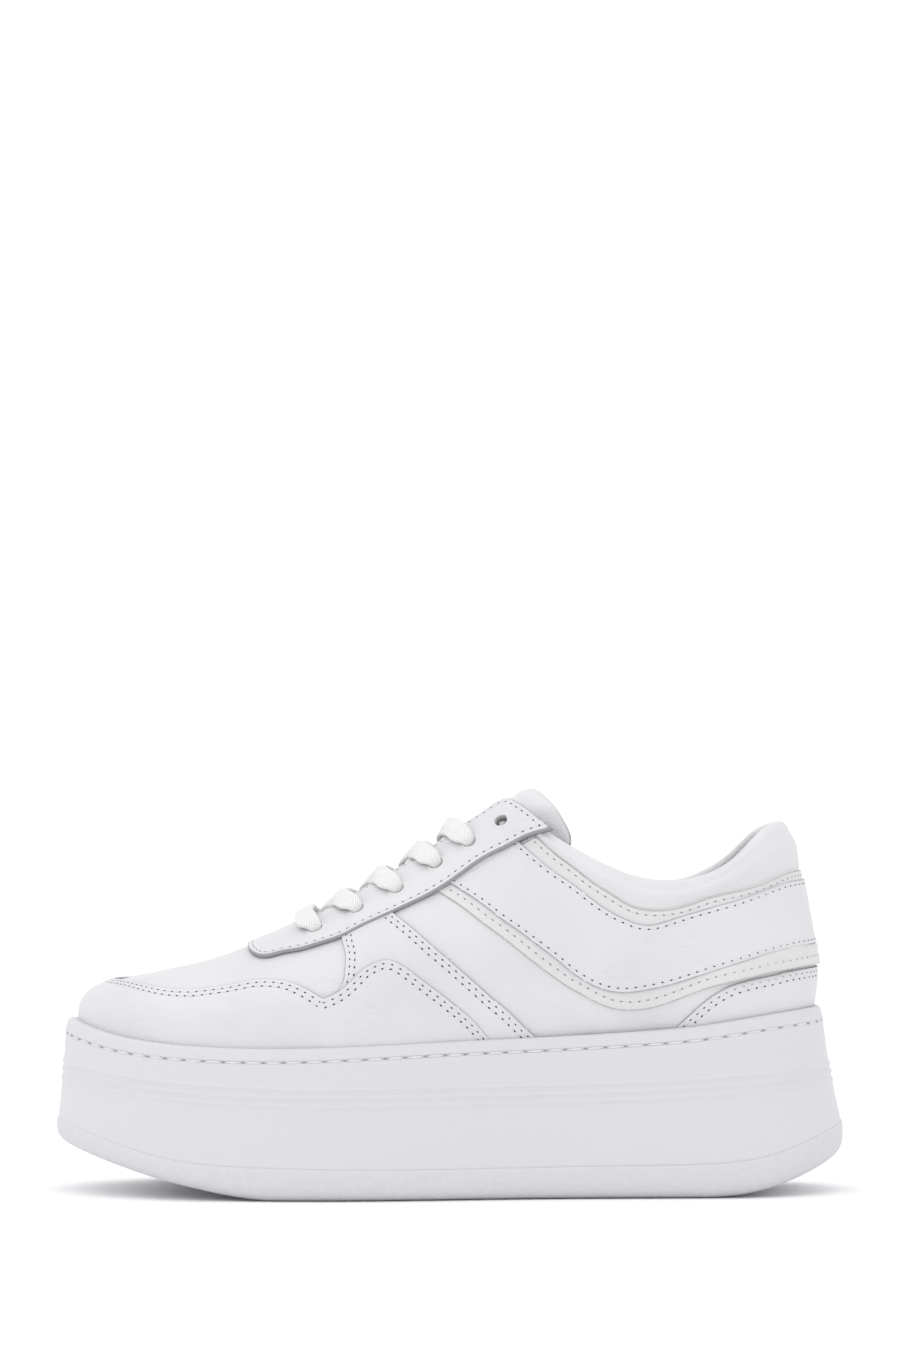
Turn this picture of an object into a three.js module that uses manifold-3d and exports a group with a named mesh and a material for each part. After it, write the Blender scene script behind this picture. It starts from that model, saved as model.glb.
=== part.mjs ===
// A low lace-up platform sneaker for the left foot, women's EU 38, standing on its sole.
// Millimetres, +Z up. The toe points to -X, the outer (lateral) side of the foot is -Y.
// Every piece is worked out from one last: an outline in plan, and a meridian that climbs
// from each point of that outline to the ridge of the foot.
import * as THREE from "three";
import { mergeVertices } from "three/addons/utils/BufferGeometryUtils.js";
import Module from "manifold-3d";

const wasm = await Module();
wasm.setup();

// ---------------------------------------------------------------- driving sizes
const TOE_X = -131.5; // tip of the last's toe, outer skin of the upper
const HEEL_X = 130; // back of the heel at its fullest
const TOE_ROUND = 45; // length over which the toe closes in plan
const HEEL_ROUND = 37;
const TOE_POWER = 2.05; // superellipse powers of the two round ends
const HEEL_POWER = 2.1;
const TOE_SPINE = -95; // the meridians fan out round these two ends of the spine
const HEEL_SPINE = 95;
const SPINE_BLEND = 14;

const GAP = 0.3; // air between two pieces that meet
const WALL = 2.2; // leather and lining together
const COLLAR_PAD = 3.4; // foam that the collar adds to the wall
const COLLAR_PAD_DEPTH = 30; // how far down from the top line the foam reaches
const COLLAR_ROLL = 8; // depth over which the foam fills out below the rolled top
const COLLAR_FULL_FROM = 10; // below the top line, where the foam starts to thin again
const COLLAR_FRONT = 40; // x where the foam starts
const COLLAR_BLEND = 22;
const OVERLAY = 1.3; // leather of the toe guard, the lace stay and the heel counter
const THROAT_FRONT = -50.5; // front end of the lace opening
const THROAT_HALF = 11.5; // half of the opening between the two lace rows
const THROAT_ROUND = 11; // length of the opening's round front end

const CUP_DEPTH = 8.5; // how deep the upper sits in the sole's cup
const CUP_CLEAR = 2 * GAP + OVERLAY; // the cup's wall clears skin, gap, overlay and gap
const RIM_ROUND = 1.6;
const MIDSOLE_TUCK = 9; // height over the parting line where the wall is at its fullest
const RIB_COUNT = 3; // moulded ribs round the sole wall
const RIB_PITCH = 2.9;
const RIB_PROUD = 0.55;
const TREAD_DEPTH = 1.8;
const TREAD_GROOVE = 2.6;
const TREAD_PITCH = 9;
const TREAD_MARGIN = 10; // plain band left round the tread
const TREAD_MIDDLE = 1.4; // half of the plain strip between the two rows of grooves
const TREAD_TURN = 0.22; // angle of the chevrons
const TREAD_BANDS = [[-96, -10], [42, 106]]; // x of the grooves under ball and heel
const INSOLE_THICK = 5;

const TONGUE_THICK = 5.2;
const TONGUE_HALF = 27; // half width of the tongue in plan at its free end
const TONGUE_FRONT = -60; // it starts under the vamp
const TONGUE_TOP = 27.6; // x of the free end on the ridge
const TONGUE_TOP_SWEEP = 15.5; // how far back the end's corners lie

const LACE_WIDTH = 7;
const LACE_THICK = 2;
const EYELET_R = 2.1;
// A crossing lace comes into view this far along the way between its two eyelets, at the
// edge of the throat, and climbs over the lace stay.
const CROSS_FROM = 0.36;
const CROSS_CLIMB = [-0.2, 0.8, 1.9, 2.8];
const BAR_ARCH = [0, 0.5, 1, 1.2, 1, 0.5, 0]; // how the first lace bridges the throat

// ---------------------------------------------------------------- tables
// One row for each section of the last. lateral, medial: half widths at the belly, the
// fullest height. rise: how far the side climbs before it turns in. brow: how broad the
// top is, as a share of the half width. tuck: how far the skin draws in below the belly.
const LAST = [
  { x: -132, lateral: 33, medial: 37, belly: 62, ridge: 76, rise: 10, brow: 0.72, tuck: 0.6, axis: 4 },
  { x: -95, lateral: 41.5, medial: 44, belly: 61, ridge: 79.1, rise: 11, brow: 0.66, tuck: 1.2, axis: 4 },
  { x: -65, lateral: 46.8, medial: 47, belly: 61, ridge: 88.9, rise: 15, brow: 0.58, tuck: 2, axis: 3.2 },
  { x: -40, lateral: 47.9, medial: 45, belly: 63, ridge: 101.5, rise: 20, brow: 0.48, tuck: 3, axis: 2.4 },
  { x: -15, lateral: 45.6, medial: 39.8, belly: 66, ridge: 117.2, rise: 27, brow: 0.42, tuck: 4, axis: 1.6 },
  { x: 10, lateral: 41.8, medial: 35.2, belly: 69, ridge: 133.4, rise: 36, brow: 0.44, tuck: 5, axis: 0.9 },
  { x: 35, lateral: 38.2, medial: 32.8, belly: 72, ridge: 150, rise: 46, brow: 0.56, tuck: 5.5, axis: 0.4 },
  { x: 60, lateral: 35.8, medial: 32.6, belly: 74, ridge: 160, rise: 44, brow: 0.74, tuck: 5, axis: 0.1 },
  { x: 95, lateral: 33.2, medial: 32, belly: 77, ridge: 164, rise: 24, brow: 0.8, tuck: 4.5, axis: 0 },
  { x: 131, lateral: 31, medial: 31, belly: 78, ridge: 165, rise: 2, brow: 0.71, tuck: 4, axis: 0 },
];
// Top line of the collar, from the top of the lace rows to the back of the heel.
const TOP_LINE = [
  { x: 15.5, z: 142 },
  { x: 18.8, z: 138 },
  { x: 27, z: 133.2 },
  { x: 36, z: 126.7 },
  { x: 49, z: 118.7 },
  { x: 62, z: 112.6 },
  { x: 77, z: 110.3 },
  { x: 90, z: 112.6 },
  { x: 100, z: 117.6 },
  { x: 108, z: 123.2 },
  { x: 117, z: 128.4 },
  { x: 131, z: 131.6 },
];
// Levels of the sole, from toe to heel: rim of the cup wall, first rib, the parting line
// between midsole and outsole, how far the rim stands out from the upper, and how far the
// wall flares out below it.
const SOLE = [
  { x: -132, rim: 61, rib: 46.8, parting: 25.6, out: 5.4, flare: 2.5 },
  { x: -118, rim: 56.8, rib: 44.2, parting: 20.7, out: 5, flare: 2.7 },
  { x: -95, rim: 53.5, rib: 41.3, parting: 13.7, out: 4.4, flare: 3 },
  { x: -68, rim: 52.3, rib: 39.7, parting: 11.1, out: 4.2, flare: 3.2 },
  { x: -35, rim: 52.9, rib: 39.2, parting: 10.3, out: 4.2, flare: 3.4 },
  { x: 0, rim: 54.5, rib: 39.6, parting: 10.2, out: 4.2, flare: 3.8 },
  { x: 35, rim: 55.9, rib: 40.1, parting: 10.6, out: 4.2, flare: 4.3 },
  { x: 65, rim: 57.6, rib: 41, parting: 10.9, out: 4.2, flare: 4.9 },
  { x: 90, rim: 59.9, rib: 42.3, parting: 11.4, out: 4.1, flare: 5.4 },
  { x: 110, rim: 63, rib: 44, parting: 14.6, out: 3.9, flare: 6 },
  { x: 130, rim: 65.4, rib: 46, parting: 24.3, out: 3.8, flare: 6.6 },
];
const FLAT_FROM = -62; // the sole stands on the floor between these two
const FLAT_TO = 86;
const TOE_LIFT = { over: 68, height: 16.2, power: 1.45 };
const HEEL_LIFT = { over: 48, height: 14.3, power: 2.3 };

// Edges of the overlays: the height that each reaches against the outline's x.
// The toe guard wraps the toe, dips to a point and peaks beside the laces.
const GUARD_EDGE = [
  { x: -131.5, z: 74.2 },
  { x: -124, z: 73.6 },
  { x: -112, z: 72.8 },
  { x: -95, z: 72.3 },
  { x: -80, z: 73 },
  { x: -62, z: 75.6 },
  { x: -53, z: 73.7 },
  { x: -43.5, z: 69.2 },
  { x: -35, z: 73.3 },
  { x: -27, z: 80.2 },
  { x: -21.5, z: 81.8 },
  { x: -14, z: 78 },
  { x: 0, z: 67 },
  { x: 14, z: 54.6 },
  { x: 19, z: 50.6 },
];
const STAY_EDGE = [
  { x: -71.2, z: 83.2 },
  { x: -59, z: 83.8 },
  { x: -46, z: 86.8 },
  { x: -32, z: 92.4 },
  { x: -12, z: 101.6 },
  { x: 7.5, z: 112.9 },
  { x: 21, z: 120.9 },
  { x: 37, z: 126.9 },
];
const COUNTER_EDGE = [
  { x: 73, z: 53 },
  { x: 78.6, z: 58.6 },
  { x: 89, z: 68 },
  { x: 96, z: 72.5 },
  { x: 109, z: 75.7 },
  { x: 133, z: 78.6 },
];
const EDGE_STEP = 5; // spacing of the points that cut the top line
const ACROSS = 80; // half length of the cutting forms, wider than the shoe
const BEHIND = 160; // x behind everything
const OVER = 175; // level above everything
const UNDER_THROAT = 80; // level between the lace opening and the insole
const STAY_ROUND = 12; // length of the lace stay's round front
const STAY_SETBACK = 0.5; // the lace stay stops this far short of the top line
const TUCKED_IN = 6; // how deep the overlays reach into the cup
// Eyelets of one row. The lace passes the first five pairs.
const EYELETS = [
  { x: -46.4, z: 91.6 },
  { x: -31.8, z: 98.6 },
  { x: -17.8, z: 105.6 },
  { x: -3.9, z: 114.2 },
  { x: 8, z: 121.4 },
  { x: 19.1, z: 128.9 },
];
const LACED_PAIRS = 5;

// ---------------------------------------------------------------- small maths
const clamp = (v, lo, hi) => Math.min(Math.max(v, lo), hi);
const smooth = (v) => {
  const c = clamp(v, 0, 1);
  return c * c * (3 - 2 * c);
};
const vec = (x, y, z) => new THREE.Vector3(x, y, z);
// Numbers at even steps from one to another, both ends included.
const evenly = (from, to, steps) =>
  Array.from({ length: steps + 1 }, (_, i) => from + ((to - from) * i) / steps);

// Natural cubic spline through one column of a table.
function curve(rows, key) {
  const n = rows.length;
  const x = rows.map((r) => r.x);
  const y = rows.map((r) => r[key]);
  const bend = new Array(n).fill(0);
  const u = new Array(n).fill(0);
  for (let i = 1; i < n - 1; i++) {
    const share = (x[i] - x[i - 1]) / (x[i + 1] - x[i - 1]);
    const p = share * bend[i - 1] + 2;
    const turn = (y[i + 1] - y[i]) / (x[i + 1] - x[i]) - (y[i] - y[i - 1]) / (x[i] - x[i - 1]);
    bend[i] = (share - 1) / p;
    u[i] = ((6 * turn) / (x[i + 1] - x[i - 1]) - share * u[i - 1]) / p;
  }
  bend[n - 1] = 0;
  for (let i = n - 2; i >= 0; i--) bend[i] = bend[i] * bend[i + 1] + u[i];
  return (at) => {
    const q = clamp(at, x[0], x[n - 1]);
    let i = 1;
    while (i < n - 1 && x[i] < q) i++;
    const h = x[i] - x[i - 1];
    const a = (x[i] - q) / h;
    const b = 1 - a;
    const sag = ((a ** 3 - a) * bend[i - 1] + (b ** 3 - b) * bend[i]) * (h * h) / 6;
    return a * y[i - 1] + b * y[i] + sag;
  };
}

// A table's columns as curves over x.
function curves(rows) {
  const columns = Object.keys(rows[0]).filter((key) => key !== "x");
  return Object.fromEntries(columns.map((key) => [key, curve(rows, key)]));
}
const last = curves(LAST);
const sole = curves(SOLE);
const topLine = curve(TOP_LINE, "z");

const floorOfCup = (x) => sole.rim(x) - CUP_DEPTH;

// Height of the tread: flat in the middle, lifted at toe and heel.
function treadLevel(x) {
  const lift = (d, l) => l.height * clamp(d / l.over, 0, 1.3) ** l.power;
  return lift(FLAT_FROM - x, TOE_LIFT) + lift(x - FLAT_TO, HEEL_LIFT);
}

// ---------------------------------------------------------------- the last
// Places round the shoe are given by u: 0 at the heel's back, 1 at the toe's tip along the
// lateral side, and on to 2 along the medial side.
const sideOf = (u) => (u <= 1 ? -1 : 1);

function halfWidth(x, side) {
  const end = (d, length, power) =>
    d >= length ? 1 : Math.max(0, 1 - (1 - d / length) ** power) ** (1 / power);
  const shut = end(x - TOE_X, TOE_ROUND, TOE_POWER) * end(HEEL_X - x, HEEL_ROUND, HEEL_POWER);
  const full = side < 0 ? last.lateral(x) : last.medial(x);
  return (full - side * last.axis(x)) * shut;
}
const outlineY = (x, side) => last.axis(x) + side * halfWidth(x, side);

// x of the outline against its running length, so that places are spread evenly.
const STEPS = 4000;
const runs = (() => {
  const xs = [];
  const along = [0];
  for (let i = 0; i <= STEPS; i++) {
    const turn = (1 - Math.cos((Math.PI * i) / STEPS)) / 2;
    xs.push(HEEL_X + (TOE_X - HEEL_X) * turn);
  }
  for (let i = 1; i <= STEPS; i++) {
    const across = outlineY(xs[i], -1) - outlineY(xs[i - 1], -1);
    along.push(along[i - 1] + Math.hypot(xs[i] - xs[i - 1], across));
  }
  return { xs, along };
})();

function outlineX(share) {
  const want = clamp(share, 0, 1) * runs.along[STEPS];
  let lo = 0;
  let hi = STEPS;
  while (hi - lo > 1) {
    const mid = (lo + hi) >> 1;
    if (runs.along[mid] <= want) lo = mid;
    else hi = mid;
  }
  const part = (want - runs.along[lo]) / (runs.along[hi] - runs.along[lo]);
  return runs.xs[lo] + part * (runs.xs[hi] - runs.xs[lo]);
}

// The place u whose outline point has this x.
function placeOf(x, side) {
  let lo = 0;
  let hi = 1;
  for (let i = 0; i < 40; i++) {
    const mid = (lo + hi) / 2;
    if (outlineX(mid) > x) lo = mid;
    else hi = mid;
  }
  return side < 0 ? lo : 2 - lo;
}

// x of the spine for an outline x: the same along the foot, and held at the two fans.
function spineX(x) {
  const hold = (d) =>
    d > SPINE_BLEND ? d : d < -SPINE_BLEND ? 0 : (d + SPINE_BLEND) ** 2 / (4 * SPINE_BLEND);
  return x < 0 ? TOE_SPINE + hold(x - TOE_SPINE) : HEEL_SPINE - hold(HEEL_SPINE - x);
}

const sections = new Map();
function sectionAt(u) {
  const place = ((u % 2) + 2) % 2;
  if (sections.has(place)) return sections.get(place);
  const side = sideOf(place);
  const x = outlineX(side < 0 ? place : 2 - place);
  const sx = spineX(x);
  const sy = last.axis(sx);
  const out = new THREE.Vector2(x - sx, outlineY(x, side) - sy);
  const radius = out.length();
  const away = out.divideScalar(radius);
  const slope = (last.ridge(sx + 0.5) - last.ridge(sx - 0.5)) * away.x;
  const reach = last.brow(x) * radius;
  const made = {
    x, sx, sy, side, radius, away,
    belly: last.belly(x),
    seat: floorOfCup(x) + GAP,
    tuck: last.tuck(x),
    r: [radius, radius, reach, 0],
    z: [last.belly(x), last.belly(x) + last.rise(x), last.ridge(sx) + slope * reach, last.ridge(sx)],
    ridgeSlope: last.ridge(sx + 0.5) - last.ridge(sx - 0.5),
  };
  sections.set(place, made);
  return made;
}

// Radius and height on a section. v runs from 0 at the seat, over BELLY, to 1 on the ridge.
const BELLY = 0.2;
function onSection(s, v) {
  if (v < BELLY) {
    const down = 1 - v / BELLY;
    return { r: s.radius - s.tuck * down * down, z: s.belly - (s.belly - s.seat) * down };
  }
  const t = (v - BELLY) / (1 - BELLY);
  const w = [(1 - t) ** 3, 3 * t * (1 - t) ** 2, 3 * t * t * (1 - t), t ** 3];
  const mix = (p) => p[0] * w[0] + p[1] * w[1] + p[2] * w[2] + p[3] * w[3];
  return { r: mix(s.r), z: mix(s.z) };
}
function skin(u, v) {
  const s = sectionAt(u);
  const { r, z } = onSection(s, v);
  return vec(s.sx + s.away.x * r, s.sy + s.away.y * r, z);
}

// v where a section passes a height, or a distance from the ridge.
function search(test, from = 0) {
  let lo = from;
  let hi = 1;
  for (let i = 0; i < 40; i++) {
    const mid = (lo + hi) / 2;
    if (test(mid)) lo = mid;
    else hi = mid;
  }
  return (lo + hi) / 2;
}
const vAtHeight = (u, z) => search((v) => onSection(sectionAt(u), v).z < z);
const vAtRadius = (u, r) => search((v) => onSection(sectionAt(u), v).r > r, BELLY);

// Outward normal of the skin. On the ridge it is the same from both sides.
function normal(u, v) {
  const s = sectionAt(u);
  if (v > 0.9995) return vec(-s.ridgeSlope, 0, 1).normalize();
  const du = 0.002;
  const dv = 0.004;
  const a = skin(u + du, v).sub(skin(u - du, v));
  const b = skin(u, Math.min(v + dv, 1)).sub(skin(u, Math.max(v - dv, 0)));
  return a.cross(b).normalize().negate();
}
const offSkin = (u, v, d) => skin(u, v).addScaledVector(normal(u, v), d);

// The skin as a height over plan, for what lies on top of the instep.
function topPoint(x, y, d) {
  const height = (px, py) => {
    const side = py < last.axis(px) ? -1 : 1;
    const u = placeOf(px, side);
    return skin(u, vAtRadius(u, Math.abs(py - last.axis(px)))).z;
  };
  const e = 0.5;
  const n = vec(
    height(x - e, y) - height(x + e, y),
    height(x, y - e) - height(x, y + e),
    2 * e,
  ).normalize();
  return { at: vec(x, y, height(x, y)).addScaledVector(n, d), n };
}

// ---------------------------------------------------------------- building solids
const MERGE = 1e-4;

// One closed geometry from loose triangles: equal points are merged and empty faces dropped.
function closed(triangles) {
  const numbers = triangles.flat().flatMap((p) => [p.x, p.y, p.z]);
  const loose = new THREE.BufferGeometry().setAttribute("position", positions(numbers));
  const merged = mergeVertices(loose, MERGE);
  const index = [];
  for (let i = 0; i < merged.index.count; i += 3) {
    const [a, b, c] = [0, 1, 2].map((k) => merged.index.getX(i + k));
    if (a !== b && b !== c && a !== c) index.push(a, b, c);
  }
  return merged.setIndex(index);
}
// Strips of quads between rows of points of equal length.
function quads(rows, list, flip = false) {
  for (let i = 0; i + 1 < rows.length; i++)
    for (let j = 0; j + 1 < rows[i].length; j++) {
      const [a, b, c, d] = [rows[i][j], rows[i][j + 1], rows[i + 1][j + 1], rows[i + 1][j]];
      if (flip) list.push([a, c, b], [a, d, c]);
      else list.push([a, b, c], [a, c, d]);
    }
}
const toManifold = (geometry) =>
  new wasm.Manifold(
    new wasm.Mesh({
      numProp: 3,
      vertProperties: new Float32Array(geometry.getAttribute("position").array),
      triVerts: new Uint32Array(geometry.index.array),
    }),
  );
const positions = (numbers) => new THREE.BufferAttribute(new Float32Array(numbers), 3);
function toGeometry(solid) {
  const m = solid.getMesh();
  const geometry = new THREE.BufferGeometry().setAttribute("position", positions(m.vertProperties));
  return geometry.setIndex(Array.from(m.triVerts));
}
// A three.js geometry with its shared points merged, ready to cut with.
function tool(geometry) {
  geometry.deleteAttribute("normal");
  geometry.deleteAttribute("uv");
  return toManifold(mergeVertices(geometry, MERGE));
}

// Places round the shoe that every form and ring shares, closer at toe and heel. Place i
// and place 2 * SIDE_PLACES - i have the same x on the two sides.
const SIDE_PLACES = 26;
const CROWDING = 0.06;
const PLACES = evenly(0, 2, 2 * SIDE_PLACES)
  .slice(0, -1)
  .map((share) => share - CROWDING * Math.sin(2 * Math.PI * share));
// Rungs from side to side that close a ring of the shared places, facing up or down.
function ladder(ring, up) {
  const triangles = [];
  const n = ring.length;
  for (let i = 0; i < SIDE_PLACES; i++) {
    const [a, b, c, d] = [ring[i], ring[i + 1], ring[(n - i) % n], ring[n - i - 1]];
    if (up) triangles.push([a, d, b], [a, c, d]);
    else triangles.push([a, b, d], [a, d, c]);
  }
  return triangles;
}
// A closed stack of rings, listed from the top down.
function ringSolid(rings) {
  const triangles = [...ladder(rings[0], true), ...ladder(rings[rings.length - 1], false)];
  for (let i = 0; i + 1 < rings.length; i++)
    quads([[...rings[i + 1], rings[i + 1][0]], [...rings[i], rings[i][0]]], triangles, true);
  return closed(triangles);
}

// The whole last as a closed solid, its skin moved out by a distance that may change over
// it. Its lower edge can be let down straight, below the seat.
const ROWS = [0, BELLY / 2, ...evenly(BELLY, 1, 8)];
function form(distance, letDown = 0) {
  const columns = PLACES.map((u) => {
    const column = ROWS.map((v) => offSkin(u, v, distance(u, v)));
    return letDown ? [column[0].clone().add(vec(0, 0, -letDown)), ...column] : column;
  });
  const triangles = ladder(columns.map((c) => c[0]), false);
  quads([...columns, columns[0]], triangles);
  return toManifold(closed(triangles));
}

// Points of a curve at even steps, as [x, y] pairs.
function traced(from, to, height) {
  const steps = Math.max(1, Math.round(Math.abs(to - from) / EDGE_STEP));
  return evenly(from, to, steps).map((x) => [x, height(x)]);
}

const outline = (points) => new THREE.Shape(points.map(([x, y]) => new THREE.Vector2(x, y)));
// A form with an outline seen from the side, straight across the whole shoe.
function acrossShoe(points) {
  const solid = new THREE.ExtrudeGeometry(outline(points), { depth: 2 * ACROSS, bevelEnabled: false });
  return tool(solid.rotateX(Math.PI / 2).translate(0, ACROSS, 0));
}
// What lies above the collar's top line, let down by a drop.
function aboveTopLine(drop) {
  const [front, back] = [TOP_LINE[0].x, TOP_LINE.at(-1).x];
  const line = traced(front, back, (x) => topLine(x) - drop);
  return acrossShoe([...line, [BEHIND, topLine(back) - drop], [BEHIND, OVER], [front - 2, OVER]]);
}
// The lace opening, seen from above: round in front, parallel behind.
function throat() {
  const half = (x) => {
    const share = clamp((x - THROAT_FRONT) / THROAT_ROUND, 0, 1);
    return THROAT_HALF * Math.sqrt(1 - (1 - share) ** 2);
  };
  const round = evenly(0, Math.PI / 2, 6).map((a) => THROAT_FRONT + THROAT_ROUND * (1 - Math.cos(a)));
  const xs = [...round, -20, 0, 20, 60];
  const near = xs.map((x) => [x, last.axis(x) - half(x)]);
  const far = xs.slice(1).reverse().map((x) => [x, last.axis(x) + half(x)]);
  const shape = outline([...near, ...far]);
  const solid = new THREE.ExtrudeGeometry(shape, { depth: OVER - UNDER_THROAT, bevelEnabled: false });
  return tool(solid.translate(0, 0, UNDER_THROAT));
}

// ---------------------------------------------------------------- the upper and its overlays
// Thickness of the wall: foam fills the collar and thins again at its rolled top.
function wallThickness(u, v) {
  const at = skin(u, v);
  const below = Math.max(0, topLine(Math.max(at.x, COLLAR_FRONT)) - at.z);
  const rolled = smooth(0.38 + (0.62 * below) / COLLAR_ROLL);
  const faded = 1 - smooth((below - COLLAR_FULL_FROM) / (COLLAR_PAD_DEPTH - COLLAR_FULL_FROM));
  const begun = smooth((at.x - COLLAR_FRONT) / COLLAR_BLEND);
  return WALL + COLLAR_PAD * begun * rolled * faded;
}
function makeUpper() {
  const inside = form((u, v) => -wallThickness(u, v), 2);
  return toGeometry(form(() => 0).subtract(inside).subtract(aboveTopLine(0)).subtract(throat()));
}

// A leather overlay: what a belt cuts from between two larger forms of the last. The belt
// follows the skin, well inside and outside it, from a low to a high v at each place.
const overlayLeather = form(() => GAP + OVERLAY).subtract(form(() => GAP, 1));
const BELT_ROWS = 5;
const BELT_REACH = 4;
function beltSide(places, low, high) {
  const triangles = [];
  const columns = places.map((u) => {
    const [from, to] = [low(u), high(u)];
    const vs = evenly(from, to, BELT_ROWS);
    return {
      out: vs.map((v) => offSkin(u, v, BELT_REACH)),
      in: vs.map((v) => offSkin(u, v, -BELT_REACH)),
      ridge: to === 1,
    };
  });
  for (let i = 0; i + 1 < columns.length; i++) {
    const pair = [columns[i], columns[i + 1]];
    quads(pair.map((c) => c.out), triangles);
    quads(pair.map((c) => c.in), triangles, true);
    quads(pair.map((c) => [c.in[0], c.out[0]]), triangles);
    // On the ridge the belt of one side runs on into the belt of the other.
    if (!pair.every((c) => c.ridge)) quads(pair.map((c) => [c.out[BELT_ROWS], c.in[BELT_ROWS]]), triangles);
  }
  quads([columns[0].in, columns[0].out], triangles);
  quads([columns.at(-1).in, columns.at(-1).out], triangles, true);
  return triangles;
}
const overlay = (triangles) => overlayLeather.intersect(toManifold(closed(triangles)));
const tuckedIn = (u) => vAtHeight(u, sole.rim(sectionAt(u).x) - TUCKED_IN);

// v of a table's edge at a place.
function edgeOf(table) {
  const edge = curve(table, "z");
  return (u) => vAtHeight(u, edge(sectionAt(u).x));
}
function makeToeGuard() {
  const end = placeOf(GUARD_EDGE.at(-1).x, -1);
  return toGeometry(overlay(beltSide(evenly(end, 2 - end, 34), tuckedIn, edgeOf(GUARD_EDGE))));
}
function makeHeelCounter() {
  const end = placeOf(COUNTER_EDGE[0].x, -1);
  return toGeometry(overlay(beltSide(evenly(2 - end, 2 + end, 16), tuckedIn, edgeOf(COUNTER_EDGE))));
}
// The lace stay is one U round the throat, punched with the two rows of eyelets.
function makeLaceStay() {
  const edge = edgeOf(STAY_EDGE);
  const front = STAY_EDGE[0].x;
  const end = STAY_EDGE.at(-1).x;
  // x steps that crowd together where the front turns
  const xs = evenly(0, 1, 18).map((t) => end + (front - end) * Math.sin((t * Math.PI) / 2));
  const low = (u) => {
    const share = clamp((sectionAt(u).x - front) / STAY_ROUND, 0, 1);
    return 1 - (1 - edge(u)) * Math.sqrt(1 - (1 - share) ** 2);
  };
  const lateral = xs.map((x) => placeOf(x, -1));
  const medial = xs.map((x) => placeOf(x, 1)).reverse();
  let stay = overlay([...beltSide(lateral, low, () => 1), ...beltSide(medial, low, () => 1)]);
  stay = stay.subtract(aboveTopLine(STAY_SETBACK)).subtract(throat());
  for (const side of [-1, 1])
    for (const eyelet of EYELETS) stay = stay.subtract(punch(eyelet, side));
  return toGeometry(stay);
}
function eyeletPlace(eyelet, side) {
  const u = placeOf(eyelet.x, side);
  return { u, v: vAtHeight(u, eyelet.z) };
}
function punch(eyelet, side) {
  const { u, v } = eyeletPlace(eyelet, side);
  const pin = new THREE.CylinderGeometry(EYELET_R, EYELET_R, 8, 10);
  pin.applyQuaternion(new THREE.Quaternion().setFromUnitVectors(vec(0, 1, 0), normal(u, v)));
  const at = skin(u, v);
  return tool(pin.translate(at.x, at.y, at.z));
}

// ---------------------------------------------------------------- the sole
// A point of the sole: the upper's skin at the rim, moved out in plan by d.
function soleRing(level) {
  const at = (p) => skin(p, vAtHeight(p, sole.rim(sectionAt(p).x)));
  return PLACES.map((u) => {
    const here = at(u);
    const along = at(u + 0.004).sub(at(u - 0.004));
    const out = vec(-along.y, along.x, 0).normalize();
    const { d, z } = level(sectionAt(u).x);
    return vec(here.x + out.x * d, here.y + out.y * d, z);
  });
}
const soleSolid = (levels) => ringSolid(levels.map(soleRing));

// How far the sole's wall stands out at a height between parting line and rim.
function wallOut(x, z) {
  const share = clamp((sole.rim(x) - z) / (sole.rim(x) - sole.parting(x)), 0, 1);
  return sole.out(x) + sole.flare(x) * share ** 1.5;
}
function makeMidsole() {
  const wall = (height, proud = 0) => (x) => ({ d: wallOut(x, height(x)) + proud, z: height(x) });
  const ribs = [];
  for (let i = 0; i < RIB_COUNT; i++) {
    const top = (x) => sole.rib(x) - i * RIB_PITCH;
    ribs.push(wall(top), wall((x) => top(x) - RIB_PITCH * 0.3, RIB_PROUD));
    ribs.push(wall((x) => top(x) - RIB_PITCH * 0.62, RIB_PROUD));
  }
  ribs.push(wall((x) => sole.rib(x) - RIB_COUNT * RIB_PITCH));
  const block = soleSolid([
    (x) => ({ d: sole.out(x) - RIM_ROUND, z: sole.rim(x) }),
    (x) => ({ d: sole.out(x) - RIM_ROUND * 0.3, z: sole.rim(x) - RIM_ROUND * 0.5 }),
    (x) => ({ d: sole.out(x), z: sole.rim(x) - RIM_ROUND * 1.5 }),
    ...ribs,
    wall((x) => sole.parting(x) + MIDSOLE_TUCK),
    wall((x) => sole.parting(x) + GAP),
  ]);
  // the cup is cut down into it, with straight walls and a floor
  const cup = soleSolid([
    (x) => ({ d: CUP_CLEAR, z: sole.rim(x) + 4 }),
    (x) => ({ d: CUP_CLEAR, z: floorOfCup(x) }),
  ]);
  return toGeometry(toManifold(block).subtract(toManifold(cup)));
}

// The outsole's sides swell a little and roll under. Its tread is cut by chevron grooves.
function makeOutsole() {
  const side = (share, out) => (x) => {
    const low = treadLevel(x);
    return { d: wallOut(x, sole.parting(x)) + out, z: low + (sole.parting(x) - low) * share };
  };
  const rolled = [side(1, -0.2), side(0.66, 0.5), side(0.32, -0.2), side(0.1, -2.2), side(0, -5)];
  const blank = toManifold(soleSolid(rolled));
  return toGeometry(treadGrooves().reduce((body, groove) => body.subtract(groove), blank));
}
function treadGrooves() {
  const grooves = [];
  for (const [from, to] of TREAD_BANDS)
    for (let x = from; x <= to; x += TREAD_PITCH)
      for (const side of [-1, 1]) {
        const long = halfWidth(x, side) - TREAD_MARGIN;
        const bar = new THREE.BoxGeometry(TREAD_GROOVE, long, 2 * TREAD_DEPTH);
        bar.translate(0, side * (long / 2 + TREAD_MIDDLE), 0);
        bar.rotateZ(side * TREAD_TURN);
        grooves.push(tool(bar.translate(x, last.axis(x), treadLevel(x))));
      }
  return grooves;
}

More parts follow.
